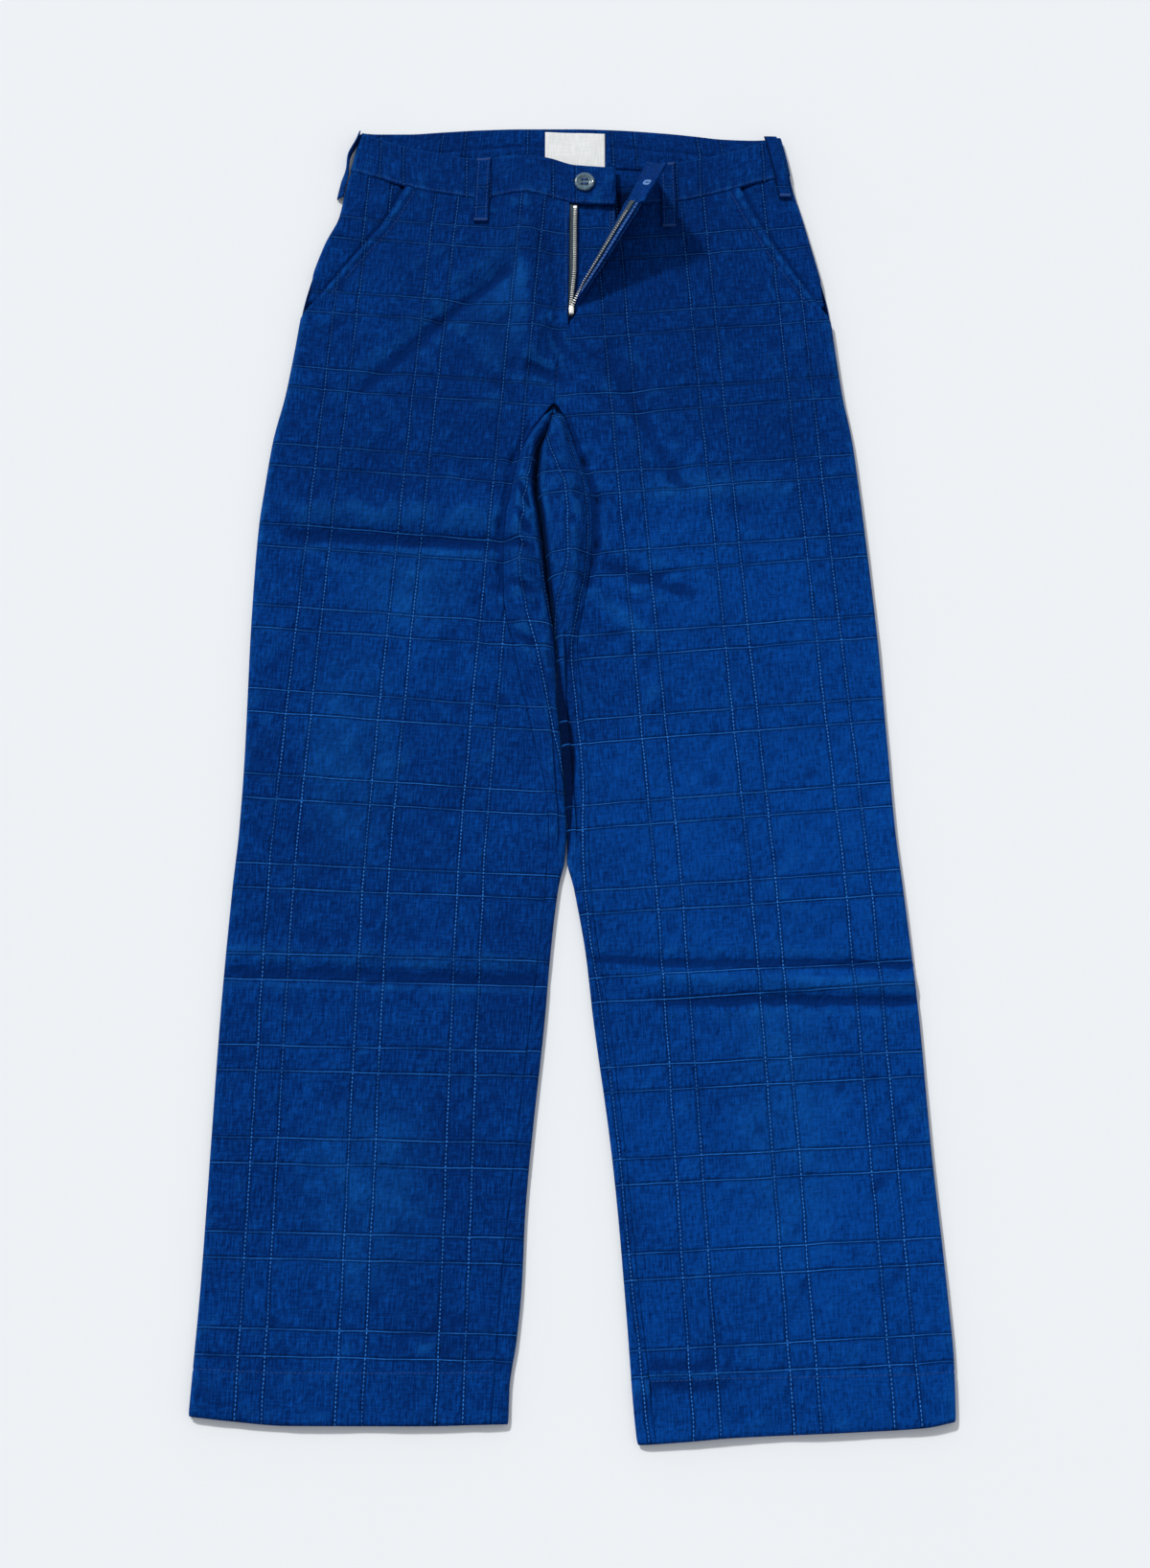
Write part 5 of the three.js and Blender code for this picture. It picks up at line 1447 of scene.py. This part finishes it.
def material_for(name):
    """The named material, made on first use from the settings."""
    if name in bpy.data.materials:
        return bpy.data.materials[name]
    settings = bpy.context.scene
    for group, build in (("check lines", build_check_group), ("slub weave", build_weave_group),
                         ("soft spot", build_soft_spot_group)):
        if group not in bpy.data.node_groups:
            build()
    makers = {
        "indigo_check_cloth": lambda: build_cloth(settings.trousers_cloth),
        "woven_tape": lambda: build_tape(settings.trousers_zip),
        "silvered_metal": lambda: build_metal(settings.trousers_zip),
        "dark_resin": lambda: build_resin(settings.trousers_button),
        "white_satin": build_label_cloth,
        "seam_thread": lambda: build_thread("seam_thread", settings.trousers_sewing.seam_colour),
        "pale_thread": lambda: build_thread("pale_thread", settings.trousers_sewing.pale_colour),
        "floor": lambda: build_floor(settings.trousers_stage),
    }
    return makers[name]()


def length_setting(name, description, default):
    return FloatProperty(
        name=name, description=description, default=default, min=0.0, unit="LENGTH", precision=5
    )


def number_setting(name, description, default, least=0.0):
    return FloatProperty(name=name, description=description, default=default, min=least)


def colour_setting(name, description, default):
    return FloatVectorProperty(
        name=name, description=description, default=default, subtype="COLOR", min=0.0, max=1.0
    )


class ClothSettings(PropertyGroup):
    """Sizes and colours of the check cloth"""

    warp_spacing: length_setting("Upright Lines", "From one pair of upright lines to the next", 0.072)
    weft_spacing: length_setting("Level Lines", "From one pair of level lines to the next", 0.07035)
    pair_gap: length_setting("Pair Gap", "Distance between the two lines of a pair", 0.0193)
    dash: length_setting("Dash", "Length of one running stitch and its gap in the upright lines", 0.0031)
    yarn: length_setting("Yarn", "Distance from yarn to yarn", 0.0009)
    indigo: colour_setting("Indigo", "Main colour of the cloth", (0.001, 0.053, 0.285))
    # Deep indigo is also the colour of painted shade in hollows and grooves, and a quarter of it of the
    # deepest painted shadow
    deep: colour_setting("Deep Indigo", "Colour of thick yarns and grooves", (0.0003, 0.016, 0.105))
    # Colour of wear, and of the painted highlight on raised places
    wear_and_highlight: colour_setting("Worn", "Colour of worn ridges and patches", (0.006, 0.11, 0.40))
    warp_thread: colour_setting("Upright Thread", "Colour of the running stitches", (0.035, 0.22, 0.72))
    weft_thread: colour_setting("Level Thread", "Colour of the raised level lines", (0.014, 0.135, 0.50))


class SewingSettings(PropertyGroup):
    """Sizes and colours of the sewing"""

    stitch: length_setting("Stitch", "Length of a stitch that shows", 0.0026)
    gap: length_setting("Gap", "Gap between two stitches", 0.0008)
    thread: length_setting("Thread", "Diameter of the sewing thread", 0.0005)
    seam_colour: colour_setting("Seam Thread", "Colour of seams, hems and tacks", (0.004, 0.062, 0.28))
    pale_colour: colour_setting("Pale Thread", "Colour of buttonhole and fly stitching", (0.14, 0.32, 0.70))


class ZipSettings(PropertyGroup):
    """Sizes and colours of the zip"""

    pitch: length_setting("Pitch", "Distance from tooth to tooth", 0.002)
    width: length_setting("Tooth", "Width of a tooth across the tape", 0.0036)
    metal_colour: colour_setting("Metal", "Colour of teeth and slider", (0.95, 0.94, 0.90))
    tape_colour: colour_setting("Tape", "Colour of the woven tape", (0.045, 0.075, 0.10))


class ButtonSettings(PropertyGroup):
    """Colour of the button"""

    resin_colour: colour_setting("Resin", "Colour of the button", (0.045, 0.085, 0.115))


class StageSettings(PropertyGroup):
    """Floor, light and camera"""

    floor_colour: colour_setting("Floor", "Colour of the floor", (0.828, 0.848, 0.857))
    key_strength: number_setting("Key Light", "Strength of the main light", 2.3)
    fill_strength: number_setting("Fill Light", "Strength of the surrounding light", 0.55)
    lens: number_setting("Lens", "Focal length of the camera in millimetres", 68.08, 1.0)


# Camera in metres and degrees from straight down; direction and breadth of the main light
CAMERA_PLACE = (0.002, -0.8239, 2.152)
CAMERA_TILT = 20.0
KEY_FROM = (-0.60, 0.80, 1.0)
KEY_BREADTH = 0.1
FLOOR_HALF = 4


class TROUSERS_OT_fronts(Operator):
    """Make both front panels with their creases and hems"""

    bl_idname = "trousers.fronts"
    bl_label = "Front Panels"

    def execute(self, context):
        for side in ("right", "left"):
            make_front(side)
        return {"FINISHED"}


class TROUSERS_OT_backs(Operator):
    """Make both back panels, folded round the inner edge of the legs"""

    bl_idname = "trousers.backs"
    bl_label = "Back Panels"

    def execute(self, context):
        for side in ("right", "left"):
            make_back(side)
        return {"FINISHED"}


class TROUSERS_OT_pocket_facings(Operator):
    """Make the pieces that show inside the slant pockets"""

    bl_idname = "trousers.pocket_facings"
    bl_label = "Pocket Facings"

    def execute(self, context):
        for side in ("right", "left"):
            make_pocket_facing(side)
        return {"FINISHED"}


class TROUSERS_OT_waistband(Operator):
    """Make the two front halves and the back of the band"""

    bl_idname = "trousers.waistband"
    bl_label = "Waistband"

    def execute(self, context):
        for side in ("right", "left"):
            make_front_band(side)
        make_back_band()
        return {"FINISHED"}


class TROUSERS_OT_fly(Operator):
    """Make the underlap, the fly's facing and both zip tapes"""

    bl_idname = "trousers.fly"
    bl_label = "Fly"

    def execute(self, context):
        make_shield()
        make_fly_facing()
        make_left_tape()
        make_right_tape()
        return {"FINISHED"}


class TROUSERS_OT_loops(Operator):
    """Make the four belt loops that show"""

    bl_idname = "trousers.loops"
    bl_label = "Belt Loops"

    def execute(self, context):
        for loop in FRONT_LOOPS:
            make_front_loop(*loop)
        make_right_side_loop()
        make_left_side_loop()
        return {"FINISHED"}


class TROUSERS_OT_label(Operator):
    """Make the bare white label"""

    bl_idname = "trousers.label"
    bl_label = "Label"

    def execute(self, context):
        make_label()
        return {"FINISHED"}


class TROUSERS_OT_stitches(Operator):
    """Sew hems, band, pockets, fly, loops and buttonhole"""

    bl_idname = "trousers.stitches"
    bl_label = "Stitches"

    def execute(self, context):
        make_stitches(context.scene.trousers_sewing, material_for("seam_thread"), material_for("pale_thread"))
        return {"FINISHED"}


class TROUSERS_OT_zip(Operator):
    """Make the zip's teeth, its stop and the slider"""

    bl_idname = "trousers.zip"
    bl_label = "Zip"

    def execute(self, context):
        make_zip(context.scene.trousers_zip, material_for("silvered_metal"))
        make_slider(material_for("silvered_metal"))
        return {"FINISHED"}


class TROUSERS_OT_button(Operator):
    """Make the button and its threads"""

    bl_idname = "trousers.button"
    bl_label = "Button"

    def execute(self, context):
        make_button(material_for("dark_resin"), material_for("seam_thread"))
        return {"FINISHED"}


class TROUSERS_OT_stage(Operator):
    """Make the floor, the light and the camera"""

    bl_idname = "trousers.stage"
    bl_label = "Stage"

    def execute(self, context):
        settings = context.scene.trousers_stage
        corners = [(FLOOR_HALF * x, FLOOR_HALF * y, 0.0) for x, y in ((-1, -1), (1, -1), (1, 1), (-1, 1))]
        mesh = bpy.data.meshes.new("floor")
        mesh.from_pydata(corners, [], [[0, 1, 2, 3]])
        mesh.materials.append(material_for("floor"))
        floor = bpy.data.objects.new("floor", mesh)
        context.scene.collection.objects.link(floor)
        key = bpy.data.objects.new("key", bpy.data.lights.new("key", "SUN"))
        key.data.energy = settings.key_strength
        key.data.angle = KEY_BREADTH
        key.rotation_euler = light_turn(*KEY_FROM)
        context.scene.collection.objects.link(key)
        world = bpy.data.worlds.new("studio")
        world.use_nodes = True
        world.node_tree.nodes["Background"].inputs["Color"].default_value = (0.93, 0.96, 1.0, 1.0)
        world.node_tree.nodes["Background"].inputs["Strength"].default_value = settings.fill_strength
        context.scene.world = world
        camera = bpy.data.objects.new("camera", bpy.data.cameras.new("camera"))
        camera.data.lens = settings.lens
        camera.data.sensor_width = 36.0
        camera.location = CAMERA_PLACE
        camera.rotation_euler = (np.radians(CAMERA_TILT), 0.0, 0.0)
        context.scene.collection.objects.link(camera)
        context.scene.camera = camera
        context.scene.view_settings.view_transform = "Standard"
        return {"FINISHED"}


def light_turn(x, y, z):
    """Turn of a lamp that shines from the direction (x, y, z) to the origin."""
    flat = np.hypot(x, y)
    return (0.0, float(np.arctan2(flat, z)), float(np.arctan2(y, x)))


class TROUSERS_PT_panel(Panel):
    """The pieces of the trousers, in the order in which they are made"""

    bl_idname = "TROUSERS_PT_panel"
    bl_label = "Sashiko Trousers"
    bl_space_type = "VIEW_3D"
    bl_region_type = "UI"
    bl_category = "Trousers"

    def draw(self, context):
        for operator in OPERATORS:
            self.layout.operator(operator.bl_idname)
        for owner, kind in SETTINGS.items():
            box = self.layout.box()
            for name in kind.__annotations__:
                box.prop(getattr(context.scene, owner), name)


SETTINGS = {
    "trousers_cloth": ClothSettings,
    "trousers_sewing": SewingSettings,
    "trousers_zip": ZipSettings,
    "trousers_button": ButtonSettings,
    "trousers_stage": StageSettings,
}
OPERATORS = (
    TROUSERS_OT_stage, TROUSERS_OT_backs, TROUSERS_OT_fronts, TROUSERS_OT_pocket_facings,
    TROUSERS_OT_waistband, TROUSERS_OT_fly, TROUSERS_OT_loops, TROUSERS_OT_label, TROUSERS_OT_stitches,
    TROUSERS_OT_zip, TROUSERS_OT_button,
)


def register():
    for kind in (*SETTINGS.values(), *OPERATORS, TROUSERS_PT_panel):
        bpy.utils.register_class(kind)
    for owner, kind in SETTINGS.items():
        setattr(bpy.types.Scene, owner, PointerProperty(type=kind))


def unregister():
    for owner in SETTINGS:
        delattr(bpy.types.Scene, owner)
    for kind in (TROUSERS_PT_panel, *OPERATORS[::-1], *list(SETTINGS.values())[::-1]):
        bpy.utils.unregister_class(kind)


def main():
    register()
    for operator in OPERATORS:
        getattr(bpy.ops.trousers, operator.bl_idname.split(".")[1])()


if __name__ == "__main__":
    main()
